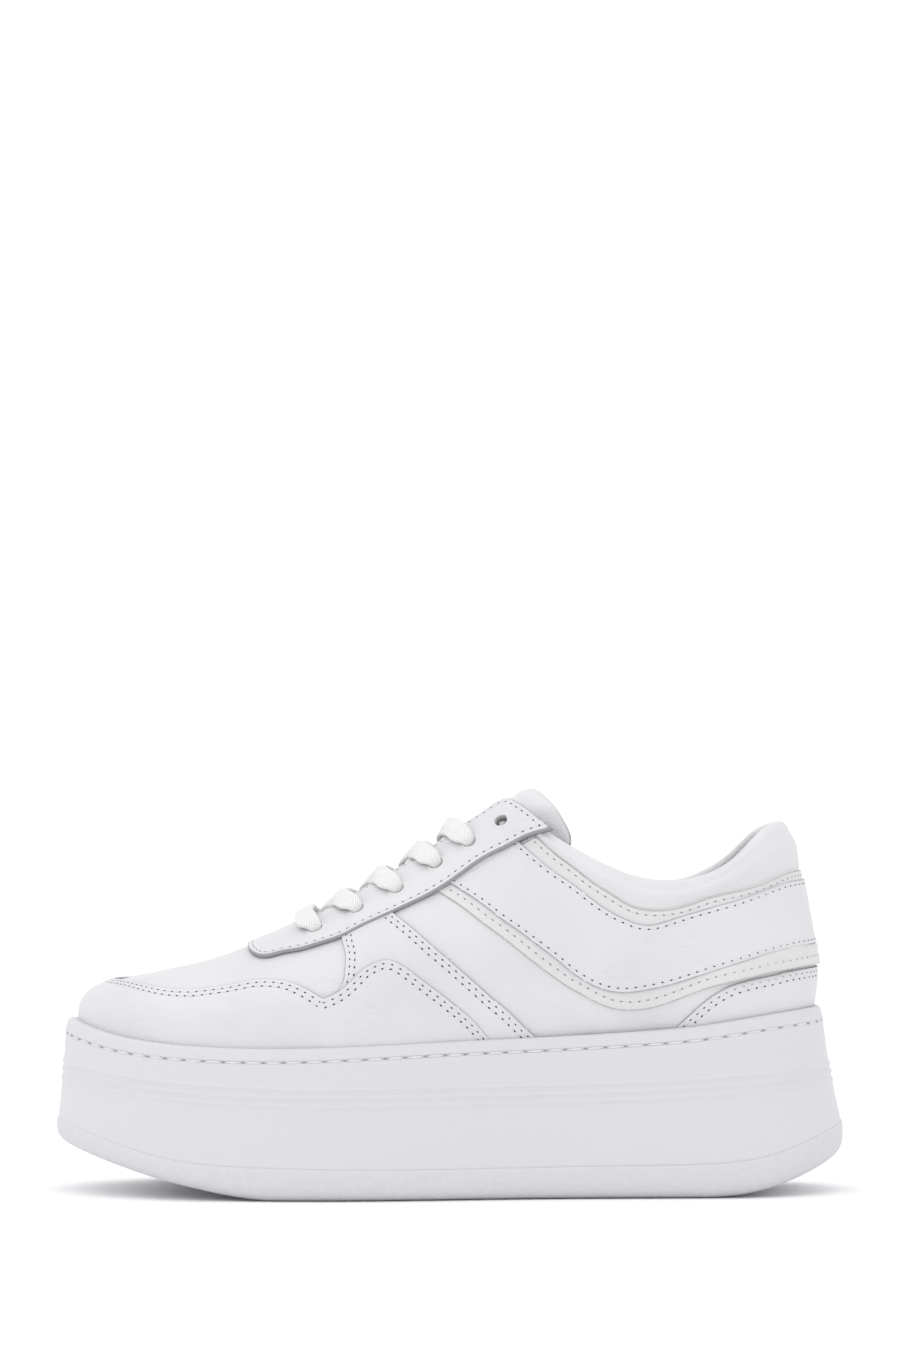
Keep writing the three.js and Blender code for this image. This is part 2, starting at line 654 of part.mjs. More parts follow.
// The insole lies on the cup's floor inside the upper's wall.
function makeInsole() {
  const ring = (lift, inset) =>
    PLACES.map((u) => {
      const z = floorOfCup(sectionAt(u).x) + lift;
      const v = vAtHeight(u, z);
      const out = normal(u, v).setZ(0).normalize();
      return skin(u, v).addScaledVector(out, -(WALL + GAP + inset)).setZ(z);
    });
  return ringSolid([ring(INSOLE_THICK, 1.6), ring(INSOLE_THICK - 1.2, 0.3), ring(GAP, 0.3)]);
}

// ---------------------------------------------------------------- tongue and laces
// The padded tongue follows the last just under the upper's wall and stands free at its top.
function makeTongue() {
  const across = 10;
  const along = 12;
  const depth = WALL + 2 * GAP;
  const top = [];
  const under = [];
  for (let i = 0; i <= along; i++) {
    const rowTop = [];
    const rowUnder = [];
    for (let j = 0; j <= across; j++) {
      const q = (2 * j) / across - 1;
      const end = TONGUE_TOP + TONGUE_TOP_SWEEP * q * q;
      const x = TONGUE_FRONT + ((end - TONGUE_FRONT) * i) / along;
      const y = last.axis(x) + q * TONGUE_HALF * (0.72 + 0.28 * smooth((x - TONGUE_FRONT) / 70));
      // the padding thins towards the sides, the free end and the sewn front
      const inFromEdge = Math.min(1 - Math.abs(q), (2.2 * (along - i)) / along, (i + 1) / 6);
      const thick = TONGUE_THICK * Math.min(0.35 + 2.2 * inFromEdge, 1);
      const { at, n } = topPoint(x, y, -depth - (TONGUE_THICK - thick) * 0.35);
      rowTop.push(at);
      rowUnder.push(at.clone().addScaledVector(n, -thick));
    }
    top.push(rowTop);
    under.push(rowUnder);
  }
  const triangles = [];
  quads(top, triangles, true);
  quads(under, triangles);
  for (const i of [0, along]) quads([top[i], under[i]], triangles, i === along);
  for (const j of [0, across]) quads([top.map((r) => r[j]), under.map((r) => r[j])], triangles, j === 0);
  return closed(triangles);
}

// A flat lace swept along stations, each with its centre, its normal and its way forward.
function sweepLace(stations) {
  const sides = 6;
  const rings = stations.map(({ at, n }, i) => {
    const next = stations[Math.min(i + 1, stations.length - 1)].at;
    const before = stations[Math.max(i - 1, 0)].at;
    const ahead = next.clone().sub(before).normalize();
    const wide = ahead.clone().cross(n).normalize();
    const up = wide.clone().cross(ahead);
    return Array.from({ length: sides }, (_, k) => {
      const a = (2 * Math.PI * (k + 0.5)) / sides;
      const w = (Math.sign(Math.cos(a)) * Math.abs(Math.cos(a)) ** 0.6 * LACE_WIDTH) / 2;
      const h = (Math.sin(a) * LACE_THICK) / 2;
      return at.clone().addScaledVector(wide, w).addScaledVector(up, h);
    });
  });
  const triangles = [];
  quads(rings.map((r) => [...r, r[0]]), triangles, true);
  const lid = (ring, flip) => {
    for (let k = 1; k + 1 < sides; k++)
      triangles.push(flip ? [ring[0], ring[k + 1], ring[k]] : [ring[0], ring[k], ring[k + 1]]);
  };
  lid(rings[0], false);
  lid(rings[rings.length - 1], true);
  return closed(triangles);
}
// Height of a lace's middle over the skin where it lies on the stay.
const LACE_OVER = 2 * GAP + OVERLAY + LACE_THICK / 2 + 0.2;

// Stations across the instep between two places in plan, at a height that may change.
function laceStations(a, b, heights) {
  const count = heights.length - 1;
  return heights.map((h, i) => {
    const q = i / count;
    return topPoint(a.x + (b.x - a.x) * q, a.y + (b.y - a.y) * q, h);
  });
}
const eyeletPoint = (k, side) => {
  const { u, v } = eyeletPlace(EYELETS[k], side);
  return skin(u, v);
};
// The first pair is joined by a bar over the throat.
function makeLaceBar() {
  const heights = BAR_ARCH.map((arch) => LACE_OVER + arch);
  return sweepLace(laceStations(eyeletPoint(0, -1), eyeletPoint(0, 1), heights));
}
// Further up, two laces come out of the throat, cross, and go down into the next pair.
function makeLaceCross(k) {
  const strand = (side) => {
    const over = eyeletPoint(k + 1, side);
    const from = eyeletPoint(k, -side);
    const out = from.clone().lerp(over, CROSS_FROM);
    const heights = [...CROSS_CLIMB, LACE_OVER, LACE_OVER, LACE_OVER];
    return toManifold(sweepLace(laceStations(out, over, heights)));
  };
  return toGeometry(strand(-1).add(strand(1)));
}

// ---------------------------------------------------------------- materials and scene
const finish = (color, roughness) => new THREE.MeshStandardMaterial({ color, roughness, metalness: 0 });
const leather = finish(0xf1f1f3, 0.5);
const lining = finish(0xe9e8e4, 0.8);
const moulded = finish(0xededf1, 0.55);
const tread = finish(0xe9e9ee, 0.65);
const cotton = finish(0xf4f3f2, 0.9);

const shoe = new THREE.Group();
function put(name, geometry, material) {
  const mesh = new THREE.Mesh(geometry, material);
  mesh.name = name;
  shoe.add(mesh);
}
put("outsole", makeOutsole(), tread);
put("midsole", makeMidsole(), moulded);
put("insole", makeInsole(), lining);
put("upper", makeUpper(), leather);
put("tongue", makeTongue(), leather);
put("toe_guard", makeToeGuard(), leather);
put("heel_counter", makeHeelCounter(), leather);
put("lace_stay", makeLaceStay(), leather);
put("lace_bar", makeLaceBar(), cotton);
for (let k = 0; k + 1 < LACED_PAIRS; k++) put(`lace_cross_${k + 1}`, makeLaceCross(k), cotton);

export default shoe;
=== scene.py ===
"""Low lace-up platform sneaker, left foot: soft goods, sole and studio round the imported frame.

Laid out as an add-on: one operator builds each piece, and a panel in the sidebar lists them.
Sizes are in millimetres and turned to metres where a mesh is made.
"""

import math

import bpy
import numpy as np
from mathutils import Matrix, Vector
from mathutils.geometry import delaunay_2d_cdt
from mathutils.kdtree import KDTree


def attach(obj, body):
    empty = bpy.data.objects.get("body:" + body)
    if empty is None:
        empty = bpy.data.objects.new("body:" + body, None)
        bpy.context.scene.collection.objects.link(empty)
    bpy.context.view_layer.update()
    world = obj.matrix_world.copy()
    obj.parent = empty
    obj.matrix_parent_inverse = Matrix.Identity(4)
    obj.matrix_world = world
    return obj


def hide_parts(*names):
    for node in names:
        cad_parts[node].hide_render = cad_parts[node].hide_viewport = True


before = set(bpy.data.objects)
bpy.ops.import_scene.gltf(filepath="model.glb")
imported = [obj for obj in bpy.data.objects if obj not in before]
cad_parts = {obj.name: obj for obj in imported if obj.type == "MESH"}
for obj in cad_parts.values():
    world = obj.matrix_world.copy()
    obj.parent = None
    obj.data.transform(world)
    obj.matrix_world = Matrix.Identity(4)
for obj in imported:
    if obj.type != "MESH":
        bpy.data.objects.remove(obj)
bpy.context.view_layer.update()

bl_info = {
    "name": "Platform sneaker",
    "version": (1, 0, 0),
    "blender": (4, 5, 0),
    "location": "View3D > Sidebar > Sneaker",
    "description": "Builds a leather platform sneaker over its packed frame",
    "category": "Add Mesh",
}

MM = 0.001

# ---------------------------------------------------------------- sizes of the last
TOE_X, HEEL_X = -131.5, 130.0
TOE_ROUND, HEEL_ROUND = 45.0, 37.0
TOE_POWER, HEEL_POWER = 2.05, 2.1
TOE_SPINE, HEEL_SPINE, SPINE_BLEND = -95.0, 95.0, 14.0
BELLY = 0.2
GAP = 0.3
WALL = 2.2
CUP_DEPTH = 8.5
THROAT_FRONT, THROAT_HALF, THROAT_ROUND = -50.5, 11.5, 11.0

# x, lateral and medial half width, height of the belly and of the ridge, rise of the side,
# breadth of the top, tuck below the belly, and offset of the middle line.
LAST = np.array([
    (-132, 33, 37, 62, 76, 10, 0.72, 0.6, 4),
    (-95, 41.5, 44, 61, 79.1, 11, 0.66, 1.2, 4),
    (-65, 46.8, 47, 61, 88.9, 15, 0.58, 2, 3.2),
    (-40, 47.9, 45, 63, 101.5, 20, 0.48, 3, 2.4),
    (-15, 45.6, 39.8, 66, 117.2, 27, 0.42, 4, 1.6),
    (10, 41.8, 35.2, 69, 133.4, 36, 0.44, 5, 0.9),
    (35, 38.2, 32.8, 72, 150, 46, 0.56, 5.5, 0.4),
    (60, 35.8, 32.6, 74, 160, 44, 0.74, 5, 0.1),
    (95, 33.2, 32, 77, 164, 24, 0.8, 4.5, 0),
    (131, 31, 31, 78, 165, 2, 0.71, 4, 0),
])
# x and height of the collar's top line.
TOP_LINE = np.array([
    (15.5, 142), (18.8, 138), (27, 133.2), (36, 126.7), (49, 118.7), (62, 112.6),
    (77, 110.3), (90, 112.6), (100, 117.6), (108, 123.2), (117, 128.4), (131, 131.6),
])
# x, rim, first rib, parting line, how far the rim stands out, and the flare below it.
SOLE = np.array([
    (-132, 61, 46.8, 25.6, 5.4, 2.5),
    (-118, 56.8, 44.2, 20.7, 5, 2.7),
    (-95, 53.5, 41.3, 13.7, 4.4, 3),
    (-68, 52.3, 39.7, 11.1, 4.2, 3.2),
    (-35, 52.9, 39.2, 10.3, 4.2, 3.4),
    (0, 54.5, 39.6, 10.2, 4.2, 3.8),
    (35, 55.9, 40.1, 10.6, 4.2, 4.3),
    (65, 57.6, 41, 10.9, 4.2, 4.9),
    (90, 59.9, 42.3, 11.4, 4.1, 5.4),
    (110, 63, 44, 14.6, 3.9, 6),
    (130, 65.4, 46, 24.3, 3.8, 6.6),
])
FLAT_FROM, FLAT_TO = -62.0, 86.0
EYELETS = np.array([
    (-46.4, 91.6), (-31.8, 98.6), (-17.8, 105.6), (-3.9, 114.2), (8, 121.4), (19.1, 128.9),
])
EYELET_R = 2.15
LACED_PAIRS = 5


# ---------------------------------------------------------------- small maths
def spline(x, y):
    """A natural cubic curve through points, for x that climbs. It holds its end values."""
    x, y = np.asarray(x, float), np.asarray(y, float)
    n, h = len(x), np.diff(x)
    rows = np.zeros((n, n))
    right = np.zeros((n,) + y.shape[1:])
    rows[0, 0] = rows[-1, -1] = 1
    for i in range(1, n - 1):
        rows[i, i - 1 : i + 2] = h[i - 1], 2 * (h[i - 1] + h[i]), h[i]
        right[i] = 6 * ((y[i + 1] - y[i]) / h[i] - (y[i] - y[i - 1]) / h[i - 1])
    bend = np.linalg.solve(rows, right)

    def at(q):
        q = np.clip(np.asarray(q, float), x[0], x[-1])
        i = np.clip(np.searchsorted(x, q), 1, n - 1)
        step = x[i] - x[i - 1]
        a = (x[i] - q) / step
        if y.ndim > 1:
            a, step = a[..., None], step[..., None]
        b = 1 - a
        sag = ((a**3 - a) * bend[i - 1] + (b**3 - b) * bend[i]) * step * step / 6
        return a * y[i - 1] + b * y[i] + sag

    return at


def columns(table, names):
    return {name: spline(table[:, 0], table[:, i + 1]) for i, name in enumerate(names.split())}


def smooth(t):
    t = np.clip(t, 0, 1)
    return t * t * (3 - 2 * t)


def unit(a):
    return a / np.maximum(np.linalg.norm(a, axis=-1, keepdims=True), 1e-12)


def spaced(points, step, closed=False):
    """Points at even spacing along a line of points, its ends kept."""
    points = np.asarray(points, float)
    if closed:
        points = np.vstack([points, points[:1]])
    run = np.concatenate([[0], np.cumsum(np.linalg.norm(np.diff(points, axis=0), axis=1))])
    count = max(1, int(round(run[-1] / step)))
    at = np.linspace(0, run[-1], count + 1)
    if closed:
        at = at[:-1]
    return np.stack([np.interp(at, run, points[:, k]) for k in range(points.shape[1])], 1)


last = columns(LAST, "lateral medial belly ridge rise brow tuck axis")
sole = columns(SOLE, "rim rib parting out flare")
top_line = spline(TOP_LINE[:, 0], TOP_LINE[:, 1])


# ---------------------------------------------------------------- the last
# Places round the shoe are given by u: 0 at the heel's back, 1 at the toe's tip along the
# lateral side (-Y), on to 2 along the medial side. v climbs from 0 in the sole's cup to 1
# on the ridge of the foot.
def half_width(x, side):
    def shut(d, length, power):
        inside = np.maximum(0, 1 - np.abs(1 - d / length) ** power) ** (1 / power)
        return np.where(d >= length, 1, np.where(d <= 0, 0, inside))

    full = np.where(side < 0, last["lateral"](x), last["medial"](x))
    ends = shut(x - TOE_X, TOE_ROUND, TOE_POWER) * shut(HEEL_X - x, HEEL_ROUND, HEEL_POWER)
    return (full - side * last["axis"](x)) * ends


def outline_y(x, side):
    return last["axis"](x) + side * half_width(x, side)


_turn = (1 - np.cos(np.pi * np.arange(4001) / 4000)) / 2
_outline_x = HEEL_X + (TOE_X - HEEL_X) * _turn
_outline_run = np.concatenate(
    [[0], np.cumsum(np.hypot(np.diff(_outline_x), np.diff(outline_y(_outline_x, -1))))]
)
OUTLINE = _outline_run[-1]


def outline_x(share):
    return np.interp(np.clip(share, 0, 1) * OUTLINE, _outline_run, _outline_x)


def place_of(x, side):
    share = np.interp(-np.asarray(x, float), -_outline_x, _outline_run) / OUTLINE
    return np.where(np.asarray(side) < 0, share, 2 - share)


def spine_x(x):
    def hold(d):
        blend = (d + SPINE_BLEND) ** 2 / (4 * SPINE_BLEND)
        return np.where(d > SPINE_BLEND, d, np.where(d < -SPINE_BLEND, 0, blend))

    return np.where(x < 0, TOE_SPINE + hold(x - TOE_SPINE), HEEL_SPINE - hold(HEEL_SPINE - x))


def measured_section(u):
    """The meridian at places u: where it starts on the spine, its way out, and its shape."""
    side = np.where(u <= 1, -1, 1)
    x = outline_x(np.where(side < 0, u, 2 - u))
    sx = spine_x(x)
    sy = last["axis"](sx)
    dx, dy = x - sx, outline_y(x, side) - sy
    radius = np.hypot(dx, dy)
    ax, ay = dx / radius, dy / radius
    slope = last["ridge"](sx + 0.5) - last["ridge"](sx - 0.5)
    reach = last["brow"](x) * radius
    belly, ridge = last["belly"](x), last["ridge"](sx)
    return {
        "x": x, "sx": sx, "sy": sy, "ax": ax, "ay": ay, "radius": radius, "reach": reach,
        "belly": belly, "seat": sole["rim"](x) - CUP_DEPTH + GAP, "tuck": last["tuck"](x),
        "side_top": belly + last["rise"](x), "brow_top": ridge + slope * ax * reach,
        "ridge": ridge, "slope": slope,
    }


# Every section is read from a table with a row for each 40 microns of the outline.
SECTION_ROWS = 16000
_sections = measured_section(np.linspace(0, 2, SECTION_ROWS + 1))
SECTION_NAMES = list(_sections)
SECTION_TABLE = np.stack([_sections[name] for name in SECTION_NAMES])


def section(u):
    at = np.mod(u, 2.0) * (SECTION_ROWS / 2)
    row = np.minimum(at.astype(int), SECTION_ROWS - 1)
    part = at - row
    found = SECTION_TABLE[:, row] * (1 - part) + SECTION_TABLE[:, row + 1] * part
    return dict(zip(SECTION_NAMES, found))


def on_section(s, v):
    down = 1 - v / BELLY
    t = np.clip((v - BELLY) / (1 - BELLY), 0, 1)
    back = 1 - t
    w0, w1, w2, w3 = back**3, 3 * t * back * back, 3 * t * t * back, t**3
    r = s["radius"] * (w0 + w1) + s["reach"] * w2
    z = s["belly"] * w0 + s["side_top"] * w1 + s["brow_top"] * w2 + s["ridge"] * w3
    low = v < BELLY
    r = np.where(low, s["radius"] - s["tuck"] * down * down, r)
    return r, np.where(low, s["belly"] - (s["belly"] - s["seat"]) * down, z)


def skin(u, v):
    s = section(u)
    r, z = on_section(s, v)
    return np.stack([s["sx"] + s["ax"] * r, s["sy"] + s["ay"] * r, z], -1)


def slopes(u, v):
    """How the skin runs with u and with v."""
    du, dv = 0.002, 0.004
    above, below = np.minimum(v + dv, 1), np.maximum(v - dv, 0)
    along = (skin(u + du, v) - skin(u - du, v)) / (2 * du)
    return along, (skin(u, above) - skin(u, below)) / (above - below)[..., None]


def normal(u, v):
    along, up = slopes(u, v)
    s = section(u)
    ridge = np.stack([-s["slope"], 0 * s["slope"], 1 + 0 * s["slope"]], -1)
    return unit(np.where((v > 0.9995)[..., None], ridge, np.cross(up, along)))


def search(test, shape, low=0.0):
    """The v up to which a test holds."""
    lo, hi = np.full(shape, low), np.ones(shape)
    for _ in range(36):
        mid = (lo + hi) / 2
        holds = test(mid)
        lo, hi = np.where(holds, mid, lo), np.where(holds, hi, mid)
    return (lo + hi) / 2


def v_at_height(u, z):
    u, z = np.broadcast_arrays(np.asarray(u, float), np.asarray(z, float))
    s = section(u)
    return search(lambda v: on_section(s, v)[1] < z, u.shape)


def v_at_radius(u, r):
    u, r = np.broadcast_arrays(np.asarray(u, float), np.asarray(r, float))
    s = section(u)
    return search(lambda v: on_section(s, v)[0] > r, u.shape, BELLY)


def flat(uv):
    """The skin rolled out on the plan, away from its ridge. It is one to one over the upper."""
    s = section(uv[:, 0])
    r, z = on_section(s, uv[:, 1])
    out = r + 0.8 * (s["ridge"] - z)
    return np.stack([s["sx"] + s["ax"] * out, s["sy"] + s["ay"] * out], 1)


def moved(uv, shift):
    """Places a small way off along the skin, for a shift given in space."""
    goal = skin(uv[:, 0], uv[:, 1]) + shift
    for _ in range(4):
        along, up = slopes(uv[:, 0], uv[:, 1])
        left = goal - skin(uv[:, 0], uv[:, 1])
        aa, ab, bb = (along * along).sum(1), (along * up).sum(1), (up * up).sum(1)
        pa, pb = (along * left).sum(1), (up * left).sum(1)
        det = aa * bb - ab * ab
        uv = uv + np.stack([(pa * bb - pb * ab) / det, (pb * aa - pa * ab) / det], 1)
        uv[:, 1] = np.clip(uv[:, 1], 0, 1)
    return uv


def on_side(points, side):
    """Places where the skin of one side passes each (x, z)."""
    points = np.asarray(points, float)
    x, z = points[:, 0], points[:, 1]
    u = place_of(np.clip(x, -127, 126), side)
    v = v_at_height(u, z)
    for _ in range(24):
        at = skin(u, v)
        along, up = slopes(u, v)
        det = along[:, 0] * up[:, 2] - up[:, 0] * along[:, 2]
        det = np.where(np.abs(det) < 40, np.where(det < 0, -40, 40), det)
        rx, rz = x - at[:, 0], z - at[:, 2]
        u = u + np.clip((rx * up[:, 2] - rz * up[:, 0]) / det, -0.02, 0.02)
        v = np.clip(v + np.clip((rz * along[:, 0] - rx * along[:, 2]) / det, -0.03, 0.03), 0, 1)
    return np.stack([u, v], 1)


def curve_on_skin(uv, step=0.8):
    """A smooth line through places, sampled evenly in space."""
    at = skin(uv[:, 0], uv[:, 1])
    run = np.concatenate([[0], np.cumsum(np.linalg.norm(np.diff(at, axis=0), axis=1) + 1e-6)])
    path = spline(run, uv)(np.linspace(0, run[-1], max(8, int(run[-1] / 0.25))))
    return even_places(path, step)


def even_places(path, step, closed=False):
    at = skin(path[:, 0], path[:, 1])
    found = spaced(np.hstack([at, path]), step, closed)
    return found[:, 3:]


def wrapped(points, heel_z, step=0.8):
    """A line on the lateral side, round the heel, and back along the medial side."""
    near = on_side(points, -1)
    far = on_side(points, 1) - (2, 0)
    back = np.array([(0.0, float(v_at_height([0.0], heel_z)[0]))])
    return curve_on_skin(np.vstack([near, back, far[::-1]]), step)


def level_line(u_from, u_to, height, step=1.6):
    """A line at a height that is a function of the outline's x."""
    u = np.linspace(u_from, u_to, 300)
    v = v_at_height(u, height(section(u)["x"]))
    return even_places(np.stack([u, v], 1), step)


# ---------------------------------------------------------------- creases
# Soft troughs (negative depth) and ridges that wear has pressed into the leather. Each is a
# line of (x, z) on a side, with its depth and half width.
CREASES = [
    (-1, [(-108, 68), (-101, 62), (-97, 56)], -0.45, 3.6),
    (-1, [(-92, 69), (-87, 63), (-86, 56)], -0.4, 3.2),
    (-1, [(-80, 69), (-78, 62), (-80, 55)], 0.35, 3.4),
    (-1, [(-73, 70), (-70, 64), (-72, 56)], -0.5, 3.0),
    (-1, [(-66, 71), (-62, 65), (-64, 57)], 0.4, 2.6),
    (-1, [(-60, 70), (-56, 64), (-57, 56)], -0.4, 2.4),
    (-1, [(-50, 66), (-46, 61), (-47, 55)], -0.3, 2.6),
    (-1, [(-30, 74), (-24, 70), (-19, 69)], -0.35, 1.6),
    (-1, [(-33, 70), (-26, 65), (-20, 63)], -0.3, 1.8),
    (-1, [(-24, 63), (-15, 60), (-6, 60)], 0.3, 3.0),
    (-1, [(-98, 80), (-86, 79), (-76, 81)], -0.35, 3.4),
    (-1, [(-84, 84), (-78, 79), (-74, 77)], 0.35, 3.0),
    (-1, [(-66, 81), (-60, 78), (-50, 77)], -0.35, 2.4),
    (-1, [(-52, 83), (-47, 78), (-42, 76)], 0.3, 2.2),
    (-1, [(-16, 88), (-6, 84), (2, 78)], -0.2, 2.8),
    (-1, [(12, 92), (22, 82), (34, 74)], -0.3, 4.0),
    (-1, [(30, 76), (40, 68), (52, 62)], 0.3, 4.0),
    (-1, [(20, 106), (34, 96), (50, 86)], -0.35, 5.0),
    (-1, [(46, 98), (56, 90), (70, 86)], 0.35, 4.5),
    (-1, [(54, 94), (64, 89), (76, 90)], -0.4, 2.0),
    (-1, [(62, 91), (72, 87.5), (84, 90)], -0.35, 1.6),
    (-1, [(70, 84), (84, 84), (98, 90)], 0.35, 4.0),
    (-1, [(92, 96), (104, 95), (118, 99)], -0.3, 3.6),
    (-1, [(50, 68), (60, 62), (70, 61)], -0.3, 3.0),
    (1, [(-106, 68), (-99, 62), (-95, 56)], -0.45, 3.6),
    (1, [(-78, 70), (-75, 63), (-77, 56)], -0.45, 3.2),
    (1, [(-64, 71), (-60, 65), (-62, 57)], 0.4, 2.8),
    (1, [(-52, 68), (-48, 62), (-48, 56)], -0.35, 2.4),
    (1, [(-92, 81), (-80, 79), (-70, 80)], -0.35, 3.2),
    (1, [(10, 92), (22, 83), (36, 74)], -0.35, 4.0),
    (1, [(22, 104), (38, 95), (56, 87)], 0.35, 4.5),
    (1, [(58, 92), (70, 88), (84, 90)], -0.4, 2.2),
    (1, [(88, 95), (102, 95), (116, 99)], -0.3, 3.6),
]


def crease_lines():
    lines = []
    for side, points, depth, width in CREASES:
        uv = curve_on_skin(on_side(points, side), 2.0)
        lines.append((skin(uv[:, 0], uv[:, 1]), depth, width))
    return lines


def relief(at):
    """How far creases and a slow unevenness lift the leather at points of the skin."""
    x, y, z = at[:, 0], at[:, 1], at[:, 2]
    lift = 0.10 * np.sin(x / 9.0 + 0.7 * np.sin(z / 7.0)) * np.sin(z / 8.0 + y / 21.0)
    lift += 0.06 * np.sin(x / 4.3 + z / 5.1 + 1.3) * np.sin(y / 6.0 - z / 4.6)
    for line, depth, width in LINES:
        low, high = line.min(0) - 3 * width, line.max(0) + 3 * width
        near = np.where(((at > low) & (at < high)).all(1))[0]
        if not len(near):
            continue
        share = np.linspace(-1, 1, len(line))
        fade = 1 - np.abs(share) ** 3
        gap = np.linalg.norm(at[near][:, None, :] - line[None], axis=2)
        best = gap.argmin(1)
        lift[near] += depth * fade[best] * np.exp(-((gap.min(1) / width) ** 2))
    return lift


LINES = crease_lines()


def on_leather(uv, height):
    """Points over the skin, creases included."""
    at = skin(uv[:, 0], uv[:, 1])
    return at + normal(uv[:, 0], uv[:, 1]) * (height + relief(at))[:, None]


# ---------------------------------------------------------------- building meshes
def merged(points, faces):
    """The same surface with equal points merged and the faces that vanish dropped."""
    kept, back = np.unique(np.round(points, 4), axis=0, return_inverse=True)
    back = back.reshape(-1).tolist()
    clean = []
    for face in faces:
        ring = [back[a] for a in face]
        ring = [a for k, a in enumerate(ring) if a != ring[k - 1]]
        if len(ring) > 2 and len(set(ring)) == len(ring):
            clean.append(ring)
    return kept, clean


def made(name, points, faces, materials, face_material=None):
    """A smooth-shaded object from points in millimetres."""
    if face_material is None:
        points, faces = merged(points, faces)
    mesh = bpy.data.meshes.new(name)
    mesh.from_pydata((np.asarray(points) * MM).tolist(), [], faces)
    for material in materials:
        mesh.materials.append(material)
    if face_material is not None:
        mesh.polygons.foreach_set("material_index", face_material)
    mesh.polygons.foreach_set("use_smooth", np.ones(len(faces), bool))
    mesh.update()
    found = bpy.data.objects.new(name, mesh)
    bpy.context.scene.collection.objects.link(found)
    return found


def grid_faces(rows, cols, wrap=False, start=0):
    """Quads between rows of points; with wrap the last column meets the first."""
    faces = []
    span = cols if wrap else cols - 1
    for i in range(rows - 1):
        for j in range(span):
            a = start + i * cols + j
            b = start + i * cols + (j + 1) % cols
            faces.append((a, b, b + cols, a + cols))
    return faces


def inside_polygon(points, ring):
    """Which points lie inside a closed ring."""
    x, y = points[:, 0], points[:, 1]
    x1, y1 = ring[:, 0], ring[:, 1]
    x2, y2 = np.roll(x1, -1), np.roll(y1, -1)
    found = np.zeros(len(points), bool)
    for k in range(0, len(points), 4000):
        px, py = x[k : k + 4000, None], y[k : k + 4000, None]
        cross = (y1 > py) != (y2 > py)
        with np.errstate(divide="ignore", invalid="ignore"):
            hit = px < (x2 - x1) * (py - y1) / (y2 - y1) + x1
        found[k : k + 4000] = (cross & hit).sum(1) % 2 == 1
    return found


def area(ring):
    x, y = ring[:, 0], ring[:, 1]
    return 0.5 * (x * np.roll(y, -1) - np.roll(x, -1) * y).sum()


def edge_distance(at, rings):
    """Distance from points to the nearest of some closed lines."""
    tree = KDTree(sum(len(r) for r in rings))
    starts, ends = [], []
    for ring in rings:
        for a in ring:
            tree.insert(a, len(starts))
            starts.append(a)
        ends.extend(np.roll(ring, -1, axis=0))
    before = np.concatenate([np.roll(ring, 1, axis=0) for ring in rings])
    tree.balance()
    index = np.array([tree.find(p)[1] for p in at], int)
    starts, ends = np.array(starts), np.array(ends)

    def to_segment(p, a, b):
        ab = b - a
        t = np.clip(((p - a) * ab).sum(1) / np.maximum((ab * ab).sum(1), 1e-9), 0, 1)
        return np.linalg.norm(p - a - ab * t[:, None], axis=1)

    here = starts[index]
    return np.minimum(to_segment(at, here, ends[index]), to_segment(at, before[index], here))


def offset_ring(ring, distance, closed=True):
    """Places at a distance to the left of a line on the skin, seen from outside."""
    at = skin(ring[:, 0], ring[:, 1])
    if closed:
        run = np.roll(at, -1, axis=0) - np.roll(at, 1, axis=0)
    else:
        run = np.gradient(at, axis=0)
    inward = unit(np.cross(normal(ring[:, 0], ring[:, 1]), run))
    return moved(ring, inward * distance)


# width of the band of top faces next to an edge that takes the edge's colour: partly the cut edge's
# own grey, partly a painted shade line
EDGE_SHADE_BAND = 0.45
RING_STEPS = (0.12, 0.4, 0.85, 1.3, 1.75, 2.2, 2.65, 3.1, 3.55)


def within(spread, borders):
    """Which points of the plan lie inside the first closed line and outside the others."""
    keep = inside_polygon(spread, borders[0])
    for hole in borders[1:]:
        keep &= ~inside_polygon(spread, hole)
    return keep


def spread_places(borders, grid, rings, extent):
    """Places that fill a piece: rings beside its borders, then an even spread."""
    border_at = [skin(b[:, 0], b[:, 1]) for b in borders]
    sets = []
    for distance in rings:
        for border in borders:
            found = offset_ring(border, distance)
            at = skin(found[:, 0], found[:, 1])
            sets.append(found[edge_distance(at, border_at) > distance * 0.9])
    ring_count = sum(len(found) for found in sets)
    corners = (borders[0].min(0), borders[0].max(0)) if extent is None else extent
    loose = np.vstack([*sets, filling(*corners, grid)])
    keep = within(flat(loose), [flat(border) for border in borders])
    loose = loose[keep]
    far = edge_distance(skin(loose[:, 0], loose[:, 1]), border_at)
    from_ring = np.arange(len(keep))[keep] < ring_count
    return thinned(loose[from_ring | (far > rings[-1] + 0.5 * grid)], 0.22)


def triangulated(place, borders):
    """Triangles over points of the plan that start with the closed borders, and their edges."""
    edges, rings, start = [], [], 0
    for border in borders:
        n = len(border)
        edges += [(start + i, start + (i + 1) % n) for i in range(n)]
        rings.append(place[start : start + n])
        start += n
    out = delaunay_2d_cdt([Vector(p) for p in place.tolist()], edges, [], 0, 1e-7)
    order = np.array([o[0] if o else -1 for o in out[3]], int)
    triangles = order[np.array(out[2], int)]
    triangles = triangles[(triangles >= 0).all(1)]
    triangles = triangles[within(place[triangles].mean(1), rings)]
    a, b, c = (place[triangles[:, k]] for k in range(3))
    turn = (b - a)[:, 0] * (c - a)[:, 1] - (b - a)[:, 1] * (c - a)[:, 0]
    triangles[turn < 0] = triangles[turn < 0][:, ::-1]
    return triangles, edges


